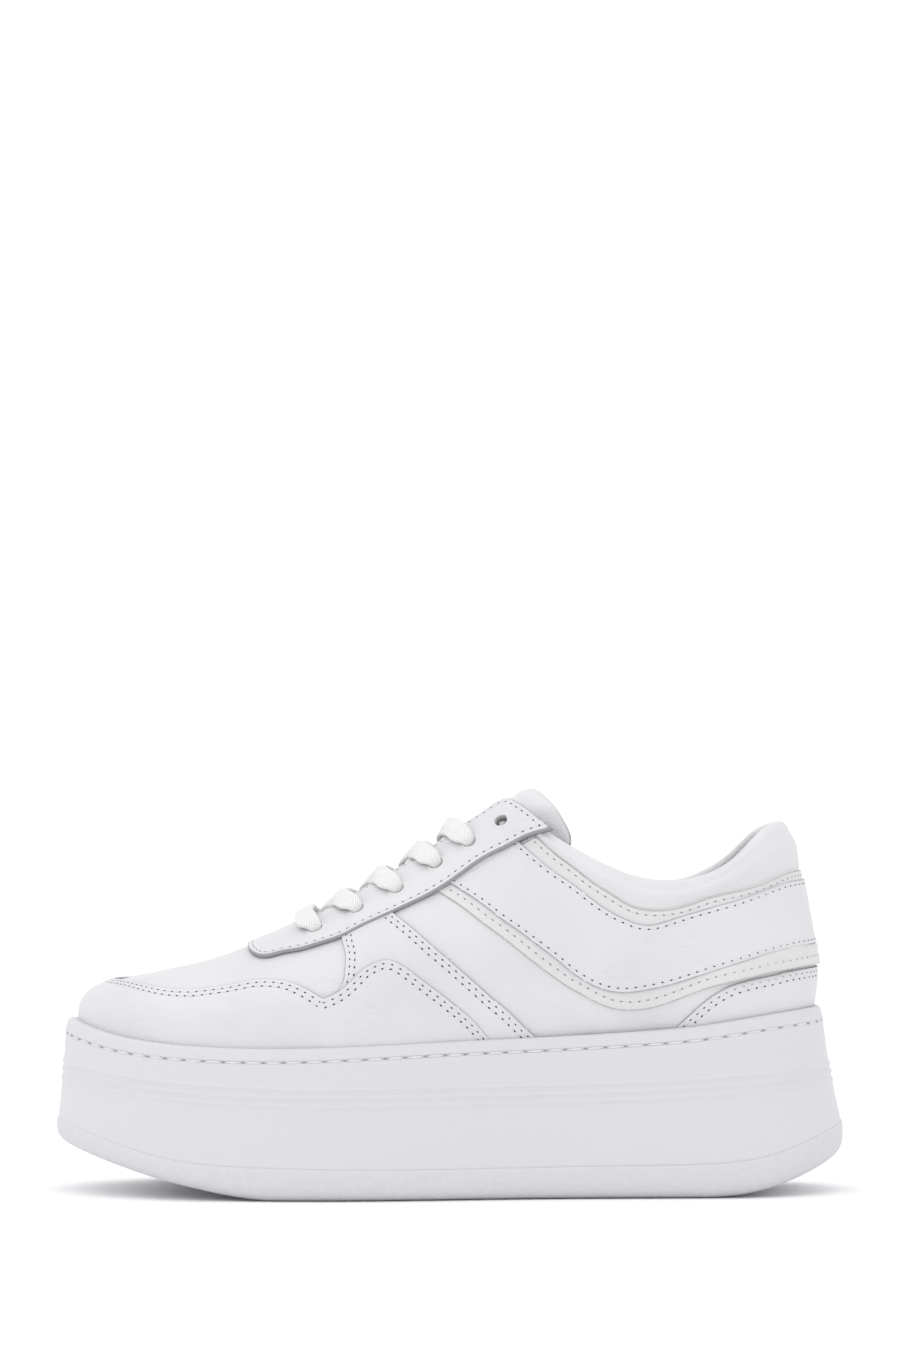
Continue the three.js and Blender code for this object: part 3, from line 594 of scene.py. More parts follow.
def leather(name, outline, holes, top, bottom, materials, grid=1.15, rings=RING_STEPS,
            edge_round=0.38, rows=(), extent=None, dark=None):
    """A closed piece of leather over the skin, with rounded edges and pressed seams.

    outline and holes are closed lines of places. top(at) and bottom(at) give heights over
    the skin. rows are the distances from the edge at which stitches press the leather in.
    materials are those of the top, the underside and the edge. The edge's colour also lies on the
    top faces next to the edge, partly the cut edge's own grey and partly a painted shade line.
    dark(at) says where the edge takes the fourth one, a darker painted shade.
    """
    if area(flat(outline)) < 0:
        outline = outline[::-1]
    borders = [outline, *(h if area(flat(h)) < 0 else h[::-1] for h in holes)]
    uv = np.vstack([*borders, spread_places(borders, grid, rings, extent)])
    triangles, edges = triangulated(flat(uv), borders)
    at = skin(uv[:, 0], uv[:, 1])
    away = normal(uv[:, 0], uv[:, 1])
    far = edge_distance(at, [skin(b[:, 0], b[:, 1]) for b in borders])
    far[: len(edges)] = 0
    lift = relief(at)
    upper = at + away * (top(at) + lift + seam_profile(far, edge_round, rows))[:, None]
    lower = at + away * (bottom(at) + lift)[:, None]
    n = len(uv)
    faces = [tuple(t) for t in triangles.tolist()]
    # top faces near the edge take the edge's colour as a painted shade line; the walls take it too
    kinds = np.where(far[triangles].max(1) < EDGE_SHADE_BAND, 2, 0).tolist()
    faces += [tuple(t) for t in (triangles[:, ::-1] + n).tolist()]
    kinds += [1] * len(triangles)
    for i, j in edges:
        faces.append((i, i + n, j + n, j))
        kinds.append(2)
    kinds = np.array(kinds, np.int32)
    if dark is not None:
        first = np.array([face[0] for face in faces]) % n
        kinds[(kinds == 2) & dark(at)[first]] = 3
    return made(name, np.vstack([upper, lower]), faces, materials, kinds)


def seam_profile(far, edge_round, rows):
    """The rounded cut edge, and the furrow along each row of stitches."""
    inset = np.clip(far / edge_round, 0, 1)
    height = -edge_round * (1 - np.sqrt(1 - (1 - inset) ** 2))
    for row in rows:
        height = height - 0.16 * np.exp(-(((far - row) / 0.42) ** 2))
    if rows:
        height = height + 0.10 * np.exp(-(((far - rows[0] * 0.5) / (rows[0] * 0.45)) ** 2))
    return height


def thinned(uv, least):
    """Places with those dropped that crowd an earlier one."""
    at = flat(uv)
    cell = np.round(at / least).astype(int)
    _, first = np.unique(cell, axis=0, return_index=True)
    return uv[np.sort(first)]


def filling(low, high, grid):
    """Places in staggered rows, evenly spaced in space, between two corners."""
    u = np.linspace(low[0], high[0], 700)
    longest = 105.0
    rows = np.arange(low[1], high[1], grid * 0.87 / longest)
    found = []
    for i, v in enumerate(rows):
        path = np.stack([u, np.full(len(u), v)], 1)
        at = skin(path[:, 0], path[:, 1])
        run = np.concatenate([[0], np.cumsum(np.linalg.norm(np.diff(at, axis=0), axis=1))])
        if run[-1] < grid:
            continue
        want = np.arange(grid * (0.25 + 0.5 * (i % 2)), run[-1], grid)
        found.append(np.stack([np.interp(want, run, u), np.full(len(want), v)], 1))
    return np.vstack(found)


def const(value):
    return lambda at: np.full(len(at), float(value))


# ---------------------------------------------------------------- materials
def linear(code):
    """An sRGB hex colour as linear light."""
    parts = [int(code[i : i + 2], 16) / 255 for i in (0, 2, 4)]
    return [p / 12.92 if p <= 0.04045 else ((p + 0.055) / 1.055) ** 2.4 for p in parts] + [1]


def add_node(tree, kind, links=None, **settings):
    """A node with its settings; links gives its inputs, as values or as other sockets."""
    node = tree.nodes.new(kind)
    for key, value in settings.items():
        setattr(node, key, value)
    for key, value in (links or {}).items():
        socket = node.inputs[key]
        if isinstance(value, bpy.types.NodeSocket):
            tree.links.new(value, socket)
        else:
            socket.default_value = value
    return node


def surface(name, colour, roughness, **sockets):
    """A material with one Principled shader; returns it with its tree and shader."""
    material = bpy.data.materials.new(name)
    material.use_nodes = True
    tree = material.node_tree
    shader = tree.nodes["Principled BSDF"]
    shader.inputs["Base Color"].default_value = linear(colour)
    shader.inputs["Roughness"].default_value = roughness
    for key, value in sockets.items():
        shader.inputs[key.replace("_", " ")].default_value = value
    return material, tree, shader


def grain(tree, shader, size, depth, stretch=(1, 1, 1), detail=2.0, wrinkle=0.0):
    """Fine pressed grain: cells of a size in millimetres, with soft wrinkles in patches."""
    place = add_node(tree, "ShaderNodeTexCoord").outputs["Object"]
    scaled = add_node(tree, "ShaderNodeMapping", {0: place, "Scale": stretch}).outputs[0]
    cells = add_node(
        tree, "ShaderNodeTexVoronoi", {"Vector": scaled, "Scale": 1 / (size * MM)},
        feature="SMOOTH_F1",
    )
    folds = add_node(
        tree, "ShaderNodeTexNoise",
        {"Vector": scaled, "Scale": 1 / (size * 3.5 * MM), "Detail": detail},
    )
    height = add_node(
        tree, "ShaderNodeMath", {0: cells.outputs["Distance"], 1: folds.outputs[0]},
        operation="ADD",
    ).outputs[0]
    if wrinkle:
        long = add_node(tree, "ShaderNodeMapping", {0: place, "Scale": (0.45, 1.0, 1.5)}).outputs[0]
        lines = add_node(
            tree, "ShaderNodeTexNoise",
            {"Vector": long, "Scale": 1 / (2.6 * MM), "Detail": 3.0, "Distortion": 0.8},
        )
        patches = add_node(
            tree, "ShaderNodeTexNoise", {"Vector": place, "Scale": 1 / (24 * MM), "Detail": 1.0}
        )
        amount = add_node(
            tree, "ShaderNodeMapRange",
            {0: patches.outputs[0], 1: 0.48, 2: 0.66, 3: 0.0, 4: wrinkle / depth},
        )
        height = add_node(
            tree, "ShaderNodeMath", {0: lines.outputs[0], 1: amount.outputs[0], 2: height},
            operation="MULTIPLY_ADD",
        ).outputs[0]
    bump = add_node(
        tree, "ShaderNodeBump", {"Height": height, "Distance": depth * MM, "Strength": 1.0}
    )
    tree.links.new(bump.outputs[0], shader.inputs["Normal"])


def soiled(tree, shader, light, dark, size):
    """A faint cloudy change of tone, from a light to a slightly darker hex colour."""
    place = add_node(tree, "ShaderNodeTexCoord").outputs["Object"]
    clouds = add_node(
        tree, "ShaderNodeTexNoise", {"Vector": place, "Scale": 1 / (size * MM), "Detail": 3.0}
    )
    ramp = add_node(tree, "ShaderNodeMapRange", {0: clouds.outputs[0], 1: 0.35, 2: 0.7})
    mix = add_node(
        tree, "ShaderNodeMix", {0: ramp.outputs[0], 6: linear(light), 7: linear(dark)},
        data_type="RGBA",
    )
    tree.links.new(mix.outputs[2], shader.inputs["Base Color"])


MATERIALS = {}


def finish_of(name):
    """The material of a name, built the first time it is asked for."""
    if name not in MATERIALS:
        MATERIALS[name] = FINISHES[name]()
    return MATERIALS[name]


def smooth_leather():
    # white smooth leather: satin, with a very fine pressed grain
    material, tree, shader = surface("white_smooth_leather", "D5D5D7", 0.4)
    soiled(tree, shader, "D7D7D9", "D1D1D4", 38)
    grain(tree, shader, 0.75, 0.045, wrinkle=0.55)
    return material


def soft_leather():
    # softer white nappa over foam: duller, finely wrinkled across its length
    material, tree, shader = surface("white_soft_nappa", "D8D8DA", 0.5)
    soiled(tree, shader, "D9D9DB", "D3D3D5", 30)
    grain(tree, shader, 1.1, 0.14, stretch=(0.55, 0.8, 1.35), detail=4.0)
    return material


def cut_edge_and_shade():
    # the raw edge of cut leather: matt, its own grey darkened further as painted shade so that
    # edges read as dark lines
    return surface("cut_leather_edge_and_painted_shade", "ADADB0", 0.85)[0]


def painted_shade_edge():
    # the thick edges of stay, strips, counter and guard: matt, a darker grey that is painted shade
    # for the shadow these thick edges sit in
    return surface("leather_edge_painted_shade", "A0A0A4", 0.9)[0]


def band_edge_and_shade():
    # the thinly skived edges of the bands: matt, a pale warm grey, partly their own and partly
    # painted shade along the edge
    return surface("skived_band_edge_and_painted_shade", "B9B7B5", 0.85)[0]


def band_leather():
    # the bands are cut from a slightly warmer white hide
    material, tree, shader = surface("warm_white_leather", "D6D4D5", 0.46)
    soiled(tree, shader, "D7D5D6", "D2D0D1", 38)
    grain(tree, shader, 0.75, 0.045, wrinkle=0.55)
    return material


def lining_with_painted_shade():
    # off-white lining, darkened to a grey as painted shade for the inside of the shoe: matt
    material, tree, shader = surface("lining_with_painted_shade", "BFBDBA", 0.8)
    grain(tree, shader, 0.9, 0.05)
    return material


def moulded_rubber():
    # moulded white rubber of the platform: cool, even, satin
    material, tree, shader = surface("moulded_white_rubber", "D1D0D4", 0.48)
    grain(tree, shader, 2.2, 0.02)
    return material


def tread_rubber():
    # outsole rubber: slightly cooler, with a fine mottle from the mould
    material, tree, shader = surface("moulded_tread_rubber", "CDCDD3", 0.6)
    soiled(tree, shader, "D1D0D4", "CDCCD1", 1.6)
    grain(tree, shader, 0.8, 0.05)
    return material


def thread():
    # white polyester sewing thread
    return surface("sewing_thread", "DADADC", 0.6)[0]


def needle_hole():
    # shade at the bottom of a needle hole
    return surface("needle_hole_shade", "3C3C46", 1.0)[0]


def faint_hole():
    # painted shade of the shallow needle holes of the bands, paler as the thread half fills them
    return surface("shallow_needle_hole_shade", "86868C", 1.0)[0]


def sole_hole():
    # the holes that take the sole's stitches: small warm grey dots, partly the holes' own beige
    # tone and partly painted shade
    return surface("sole_stitch_hole_painted_shade", "A09C96", 0.9)[0]


def woven_cotton():
    # flat woven lace: slanting ribs that meet along its middle line
    material, tree, shader = surface("woven_white_cotton", "DEDCDB", 0.85, Sheen_Weight=0.25)
    across = add_node(tree, "ShaderNodeUVMap", uv_map="weave").outputs[0]
    parts = add_node(tree, "ShaderNodeSeparateXYZ", {0: across})
    side = add_node(tree, "ShaderNodeMath", {0: parts.outputs[1]}, operation="ABSOLUTE")
    slant = add_node(
        tree, "ShaderNodeMath", {0: side.outputs[0], 1: 0.9, 2: parts.outputs[0]},
        operation="MULTIPLY_ADD",
    )
    turns = add_node(
        tree, "ShaderNodeMath", {0: slant.outputs[0], 1: 2 * math.pi / 1.15}, operation="MULTIPLY"
    )
    wave = add_node(tree, "ShaderNodeMath", {0: turns.outputs[0]}, operation="SINE")
    bump = add_node(
        tree, "ShaderNodeBump", {"Height": wave.outputs[0], "Distance": 0.06 * MM, "Strength": 1.0}
    )
    tree.links.new(bump.outputs[0], shader.inputs["Normal"])
    # the colour follows the rib wave: darker in the furrows as painted shade, lighter on the crests
    painted_furrow_shade = add_node(tree, "ShaderNodeMapRange", {0: wave.outputs[0], 1: -1.0, 2: 0.2})
    mix = add_node(
        tree, "ShaderNodeMix", {0: painted_furrow_shade.outputs[0], 6: linear("D3D2D1"), 7: linear("ECEBEA")},
        data_type="RGBA",
    )
    tree.links.new(mix.outputs[2], shader.inputs["Base Color"])
    return material


def studio_paper():
    # the plain white ground that the shoe stands on
    return surface("studio_paper", "FEFEFE", 0.9)[0]


FINISHES = {
    "smooth_leather": smooth_leather, "soft_leather": soft_leather, "cut_edge_and_shade": cut_edge_and_shade,
    "edge_painted_shade": painted_shade_edge, "band_edge_and_shade": band_edge_and_shade, "band_leather": band_leather,
    "lining": lining_with_painted_shade, "rubber": moulded_rubber, "tread": tread_rubber,
    "thread": thread, "needle_hole": needle_hole, "faint_hole": faint_hole, "sole_hole": sole_hole,
    "cotton": woven_cotton, "paper": studio_paper,
}


def fitted(piece, slot, *nodes):
    """A finished piece rides on the shoe's one body, and the nodes given are hidden; its slot is
    not used.
    """
    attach(piece, "root")
    if nodes:
        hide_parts(*nodes)
    return piece


# ---------------------------------------------------------------- stitches
def sewn_shape_tree():
    """Geometry Nodes: one small rounded shape on every point, turned to run along its row."""
    tree = bpy.data.node_groups.new("Sewn shapes", "GeometryNodeTree")
    sockets = [("Points", "NodeSocketGeometry"), ("Length", "NodeSocketFloat"),
               ("Width", "NodeSocketFloat"), ("Height", "NodeSocketFloat"),
               ("Around", "NodeSocketInt"), ("Material", "NodeSocketMaterial")]
    for name, kind in sockets:
        tree.interface.new_socket(name, in_out="INPUT", socket_type=kind)
    tree.interface.new_socket("Mesh", in_out="OUTPUT", socket_type="NodeSocketGeometry")
    given = add_node(tree, "NodeGroupInput").outputs
    ball = add_node(
        tree, "GeometryNodeMeshUVSphere", {"Segments": given["Around"], "Rings": 4, "Radius": 0.5}
    )
    ahead = add_node(
        tree, "GeometryNodeInputNamedAttribute", {"Name": "ahead"}, data_type="FLOAT_VECTOR"
    )
    away = add_node(
        tree, "GeometryNodeInputNamedAttribute", {"Name": "away"}, data_type="FLOAT_VECTOR"
    )
    upright = add_node(
        tree, "FunctionNodeAlignRotationToVector", {"Vector": away.outputs[0]}, axis="Z"
    )
    turned = add_node(
        tree, "FunctionNodeAlignRotationToVector",
        {"Rotation": upright.outputs[0], "Vector": ahead.outputs[0]}, axis="X", pivot_axis="Z",
    )
    size = add_node(
        tree, "ShaderNodeCombineXYZ", {0: given["Length"], 1: given["Width"], 2: given["Height"]}
    )
    placed = add_node(
        tree, "GeometryNodeInstanceOnPoints",
        {"Points": given["Points"], "Instance": ball.outputs["Mesh"],
         "Rotation": turned.outputs[0], "Scale": size.outputs[0]},
    )
    real = add_node(tree, "GeometryNodeRealizeInstances", {0: placed.outputs[0]})
    soft = add_node(tree, "GeometryNodeSetShadeSmooth", {"Geometry": real.outputs[0]})
    clad = add_node(
        tree, "GeometryNodeSetMaterial",
        {"Geometry": soft.outputs[0], "Material": given["Material"]},
    )
    add_node(tree, "NodeGroupOutput", {"Mesh": clad.outputs[0]})
    return tree


def sewn(name, at, ahead, away, size, material, around=8):
    """Small shapes of one size on rows of points, as one mesh."""
    mesh = bpy.data.meshes.new(name)
    mesh.from_pydata((np.asarray(at) * MM).tolist(), [], [])
    for key, value in (("ahead", ahead), ("away", away)):
        layer = mesh.attributes.new(key, "FLOAT_VECTOR", "POINT")
        layer.data.foreach_set("vector", np.asarray(value, float).ravel())
    rows = bpy.data.objects.new(name, mesh)
    bpy.context.scene.collection.objects.link(rows)
    tree = bpy.data.node_groups.get("Sewn shapes") or sewn_shape_tree()
    modifier = rows.modifiers.new("Sewn shapes", "NODES")
    modifier.node_group = tree
    given = {"Length": size[0] * MM, "Width": size[1] * MM, "Height": size[2] * MM,
             "Around": around, "Material": material}
    for item in tree.interface.items_tree:
        if item.in_out == "INPUT" and item.name in given:
            modifier[item.identifier] = given[item.name]
    graph = bpy.context.evaluated_depsgraph_get()
    baked = bpy.data.meshes.new_from_object(rows.evaluated_get(graph), depsgraph=graph)
    rows.modifiers.remove(modifier)
    rows.data = baked
    baked.name = name
    return rows


def row_frames(places, height):
    """Middle points, directions and normals along a line of evenly spaced places."""
    at = on_leather(places, height)
    middle = (at[1:] + at[:-1]) / 2
    ahead = unit(at[1:] - at[:-1])
    away = normal(places[:, 0], places[:, 1])
    return at, middle, ahead, unit(away[1:] + away[:-1]), away


# ---------------------------------------------------------------- lines of the upper
def rim_line(drop):
    return lambda x: sole["rim"](x) - drop


GUARD_TOE = [
    (-43.8, 69.2), (-47.3, 71.4), (-52.1, 73.6), (-56.6, 75), (-61.8, 75.4), (-68.8, 74.9),
    (-75.4, 73.5), (-82, 72.4), (-88.7, 71.6), (-95.4, 71.5), (-102.4, 72.2), (-108.5, 73.2),
]
GUARD_TIP = 24.2
GUARD_PEAK = [
    (17.5, 51.5), (13.3, 55.8), (8.2, 61.6), (3.1, 66), (-2.1, 70.1), (-7.6, 74.1),
    (-12.7, 77.8), (-17.1, 80.7), (-20.5, 82), (-23.8, 81.9), (-27, 80.6), (-30.5, 78.5),
    (-33.6, 75.5), (-37, 72.5), (-40.1, 70.6), (-43.8, 69.2),
]
STRIP_FRONT = [
    (-37.6, 91), (-37.4, 88.3), (-36.3, 84.4), (-36.3, 79.4), (-37, 74.8), (-38.5, 72),
    (-41, 69),
]
STRIP_UNDER = [
    (-41, 69), (-36, 67.5), (-30, 72), (-22, 76), (-14, 72), (-4, 64), (6, 55), (9, 50.5),
]
STRIP_BACK = [
    (35, 51), (29.6, 56), (25.6, 59.5), (20.4, 64.6), (13.8, 70), (6.9, 76.2), (0.4, 81.9),
    (-6.1, 87.3), (-12.5, 92.8), (-17.6, 96.7), (-21.5, 99.5),
]
LOW_BAND = [
    (-6, 106.8), (-2, 104.4), (4.1, 100.5), (10.6, 95.5), (17.1, 90.8), (23.6, 85.7),
    (30.1, 80.6), (37.6, 75.1), (43, 71.7), (49.6, 68.1), (54.9, 65.8), (60.5, 64.8),
    (67.1, 65.1), (76.5, 67.5), (86.2, 71.2), (96.6, 74.3), (106.3, 76.4), (115.1, 78.2),
    (122, 79.2),
]
SIDE_LOW = [
    (-1, 109), (2.5, 106.9), (10.7, 101.6), (17.2, 96.6), (23.6, 92.2), (30.2, 87.3),
    (36.8, 82.3), (43, 77.2), (49.6, 73.3), (54.9, 71.5), (60.4, 70.9), (67, 71.6),
    (76.5, 73.6), (89.7, 77.7), (100.7, 81.1), (112.2, 84.5), (121.1, 86.3),
]
SIDE_TOP = [
    (23, 123.8), (26.3, 121.1), (31.5, 116.6), (36.7, 112.5), (43.2, 108.1), (49.8, 103),
    (56.3, 98.7), (61.7, 96.1), (65.7, 94.7), (69.5, 94.4), (76.5, 96.1), (86.3, 99.1),
    (100.9, 103.2), (112.4, 107.3), (118.2, 109),
]
COLLAR_SEAM = [
    (30, 125), (36.2, 119.3), (43.3, 113.9), (49.8, 108.8), (56.4, 104.7), (62.9, 100.9),
    (68.5, 99.5), (75.1, 99.5), (83.2, 101.2), (89.1, 103.3), (100.9, 106), (112.5, 109.8),
    (117.5, 111.8),
]
COUNTER_TOP = [
    (71, 52), (74.5, 55), (78.5, 58.9), (83.5, 63.5), (88.9, 68.2), (92.9, 70.9),
    (96.6, 72.9), (101.1, 74.4), (108, 76), (115.1, 77.4), (120, 78.3),
]
# the heights at which those lines cross the middle of the heel
LOW_BAND_HEEL, SIDE_LOW_HEEL, SIDE_TOP_HEEL = 80.2, 87.2, 109.8
COLLAR_HEEL, COUNTER_HEEL = 113.2, 79.4
HIDDEN_LOW_HEEL, HIDDEN_TOP_HEEL = 90.5, 106.2
UNDER_RIM = 5.0  # how far an overlay's foot lies below the rim
STAY_NOSE = 12.4
STAY_LOW = [
    (-59, 83.8), (-52.3, 85), (-45.7, 86.9), (-37.7, 89.6),
    (-32.2, 92.4), (-25.6, 95.5), (-19, 98.4), (-12.4, 101.5), (-5.8, 104.7), (0.8, 108.5),
    (7.5, 113.1), (14.5, 117.5), (21.1, 120.9), (27.7, 124.4), (34.3, 126.5), (36.2, 127),
]
STAY_TOP = [
    (36.2, 127), (33, 129.1), (29.3, 132.3), (24.9, 135.4),
]


def joined(*lines):
    """One closed line from lines that meet end to end."""
    return np.vstack([line[:-1] for line in lines])


def side_line(points, side, step=0.8):
    return curve_on_skin(on_side(points, side), step)


def throat_edge(side, x_from, x_to, step=0.8):
    """The edge of the lace opening along one side, from the front or to the back."""
    x = x_from + (x_to - x_from) * (1 - np.cos(np.linspace(0, np.pi / 2, 120)))
    share = np.clip((x - THROAT_FRONT) / THROAT_ROUND, 0, 1)
    half = THROAT_HALF * np.sqrt(1 - (1 - share) ** 2)
    return even_places(over_plan(x, half, side), step)


def eyelet_holes(radius):
    holes = []
    turn = np.linspace(0, 2 * np.pi, 22, endpoint=False)
    for side in (-1, 1):
        for place in on_side(EYELETS, side):
            middle = np.repeat(place[None], len(turn), 0)
            right = unit(slopes(middle[:, 0], middle[:, 1])[0])
            over = unit(np.cross(normal(middle[:, 0], middle[:, 1]), right))
            ring = right * np.cos(turn)[:, None] + over * np.sin(turn)[:, None]
            holes.append(moved(middle, ring * radius))
    return holes


def guard_outline():
    peaks = [side_line(GUARD_PEAK, side) for side in (-1, 1)]
    near, far = on_side(GUARD_TOE, -1), on_side(GUARD_TOE, 1)
    tip = np.array([(1.0, float(v_at_radius([1.0], GUARD_TIP)[0]))])
    over = curve_on_skin(np.vstack([near, tip, far[::-1]]))
    under = level_line(peaks[1][0, 0], peaks[0][0, 0], rim_line(UNDER_RIM))
    return [peaks[0], over, peaks[1][::-1], np.vstack([peaks[1][:1], under[1:-1], peaks[0][:1]])]


def strip_outline(side):
    front, under, back = (side_line(p, side) for p in (STRIP_FRONT, STRIP_UNDER, STRIP_BACK))
    low = curve_on_skin(np.vstack([under[-1:], (under[-1:] + back[:1]) / 2, back[:1]]), 1.2)
    high = curve_on_skin(np.vstack([back[-1:], (back[-1:] + front[:1]) / 2, front[:1]]), 1.2)
    return [front, under, low, back, high]


def band_outline(low, low_heel, high, high_heel):
    """A band from the lateral side round the heel to the medial side."""
    under, over = wrapped(low, low_heel), wrapped(high, high_heel)
    near = even_places(np.vstack([over[:1], under[:1]]), 1.2)
    far = even_places(np.vstack([under[-1:], over[-1:]]), 1.2)
    return [under, far, over[::-1], near]


def counter_outline():
    over = wrapped(COUNTER_TOP, COUNTER_HEEL)
    under = level_line(over[-1, 0], over[0, 0], rim_line(UNDER_RIM))
    return [over, np.vstack([over[-1:], under[1:-1], over[:1]])]


def heel_outlines():
    """The lower band, the side panel, the upper band and the counter."""
    # the bands run on under the panel, and a touch further at the heel
    hidden_low = [(x, z + 3.2) for x, z in SIDE_LOW]
    hidden_top = [(x, z - 3.4) for x, z in SIDE_TOP]
    return (
        band_outline(LOW_BAND, LOW_BAND_HEEL, hidden_low, HIDDEN_LOW_HEEL),
        band_outline(SIDE_LOW, SIDE_LOW_HEEL, SIDE_TOP, SIDE_TOP_HEEL),
        band_outline(hidden_top, HIDDEN_TOP_HEEL, COLLAR_SEAM, COLLAR_HEEL),
        counter_outline(),
    )


def stay_outline():
    """The stay's edges: low line, end and throat of each side, lateral one first."""
    lines = []
    for side in (-1, 1):
        low = on_side(STAY_LOW, side)
        wide = float(np.abs(skin(low[:1, 0], low[:1, 1])[0, 1] - last["axis"](STAY_LOW[0][0])))
        turn = np.linspace(0, np.pi / 2, 12)[:-1]
        tip = over_plan(
            STAY_LOW[0][0] - STAY_NOSE * np.cos(turn) ** 0.667, wide * np.sin(turn) ** 0.667, side
        )
        end = on_side(STAY_TOP, side)
        corner = over_plan(np.array([21.9, 19.2, 16.4]), np.array([14.2, 12.1, THROAT_HALF]), side)
        throat = throat_edge(side, THROAT_FRONT, 13.5, 2.5)
        inner = curve_on_skin(np.vstack([end, corner, throat[::-1]]))
        lines.append((curve_on_skin(np.vstack([tip, low])), inner))
    (low_l, in_l), (low_m, in_m) = lines
    return [low_l, in_l, in_m[::-1], low_m[::-1]]


def over_plan(x, off, side):
    """Places at distances from the middle line, given in plan."""
    u = place_of(x, side)
    return np.stack([u, np.where(off < 0.05, 1.0, v_at_radius(u, off))], 1)


def heel_step(at, low, high, gain):
    """Extra height towards the heel, where one more layer lies below."""
    return gain * smooth((at[:, 0] - low) / (high - low))


def strip_height(at):
    return 0.9 + 0.4 * (1 - smooth((at[:, 2] - 54) / 24))


def guard_height(at):
    over_strip = smooth((at[:, 0] + 46) / 6) * (1 - smooth((at[:, 0] - 10) / 8))
    return 1.15 + 0.55 * over_strip


side_low_line = spline(*np.array(SIDE_LOW).T)


def low_band_height(at):
    # it thins out under the side panel
    sunk = smooth((at[:, 2] - side_low_line(at[:, 0]) - 0.3) / 1.5)
    return (0.6 + heel_step(at, 84, 100, 1.2)) * (1 - 0.75 * sunk)


def side_panel_height(at):
    sunk = 1 - smooth((at[:, 2] - 78) / 16)
    return 1.2 + heel_step(at, 84, 104, 1.0) * sunk


top_band_height = const(0.6)
counter_height = const(0.75)


def stay_height(at):
    thin = 0.45 * (1 - smooth((np.abs(at[:, 1]) - 9) / 6))
    return 1.75 - thin + 1.3 * smooth((at[:, 0] + 16) / 26)


# ---------------------------------------------------------------- the upper
def shell_outline():
    """The upper's lower edge round the shoe, and the line round collar and throat."""
    seat = level_line(0.0, 2.0, rim_line(CUP_DEPTH - 0.6), 1.4)[:-1]
    front = float(place_of(17.0, -1))
    u = np.concatenate([np.linspace(front, 0, 200), np.linspace(0, -front, 200)[1:]])
    v = v_at_height(u, top_line(section(u)["x"]) - 3.2)
    over = even_places(np.stack([u, v], 1), 1.2)
    x_end = float(section(over[:1, 0])["x"][0])
    near = throat_edge(-1, THROAT_FRONT, x_end - 1.5, 1.0)
    far = throat_edge(1, THROAT_FRONT, x_end - 1.5, 1.0) - (2, 0)
    return seat, np.vstack([over, far[::-1], near[1:]])


def build_shell():
    seat, opening = shell_outline()
    holes = [opening, *eyelet_holes(EYELET_R + 0.15)]
    return leather(
        "vamp_and_quarters", seat, holes, const(0), const(-WALL),
        [finish_of("smooth_leather"), finish_of("lining"), finish_of("cut_edge_and_shade")],
        grid=1.35, rings=(0.3, 0.9), edge_round=0.3, extent=((0.0, 0.0), (2.0, 0.9999)),
    )


def build_overlays():
    """The strips, bands and side panel; then the heel counter and the toe guard."""
    plain = [finish_of(name) for name in ("smooth_leather", "lining", "cut_edge_and_shade", "edge_painted_shade")]
    warm = [finish_of(name) for name in ("band_leather", "lining", "band_edge_and_shade", "edge_painted_shade")]
    low, panel, high, back = (joined(*lines) for lines in heel_outlines())
    pieces = []
    # dark marks the edges of strips, counter and guard that take the darker painted shade
    for side, word in ((-1, "lateral"), (1, "medial")):
        pieces.append(leather(
            f"side_strip_{word}", joined(*strip_outline(side)), [], strip_height, const(-0.5),
            plain, rows=(1.6, 3.4), dark=lambda at: (at[:, 0] > -25) | (at[:, 0] < -39.5),
        ))
    for name, line, height, finishes, row in (
        ("lower_band", low, low_band_height, warm, 3.0),
        ("upper_band", high, top_band_height, warm, 1.7),
        ("side_panel", panel, side_panel_height, plain, 1.55),
    ):
        pieces.append(leather(name, line, [], height, const(-0.5), finishes, rows=(row,)))
    counter = leather("heel_counter_leather", back, [], counter_height, const(-0.5), plain,
                      rows=(1.6, 3.3), dark=lambda at: at[:, 0] > 70)
    guard = leather("toe_guard_leather", joined(*guard_outline()), [], guard_height,
                    const(-0.5), plain, rows=(1.6, 3.3), dark=lambda at: at[:, 0] < -108)
    return pieces, counter, guard


# the stay's edges take the darker painted shade everywhere but round its eyelets
def far_from_eyelets(at):
    holes = np.array([eyelet_at(k, side)[0] for k in range(len(EYELETS)) for side in (-1, 1)])
    return np.linalg.norm(at[:, None] - holes[None], axis=2).min(1) > 4.5


def build_stay():
    finishes = [finish_of(word) for word in ("smooth_leather", "lining", "cut_edge_and_shade", "edge_painted_shade")]
    return leather(
        "lace_stay_leather", joined(*stay_outline()), eyelet_holes(EYELET_R), stay_height,
        const(0.45), finishes, rows=(1.8,), edge_round=0.3, dark=far_from_eyelets,
    )


COLLAR_FRONT_X = 27.0
COLLAR_LINING_ROW = 28  # from here on inwards the collar is lined
COLLAR_ROLL = 2.9
COLLAR_DEEP = 27.0  # how far down inside the padding reaches


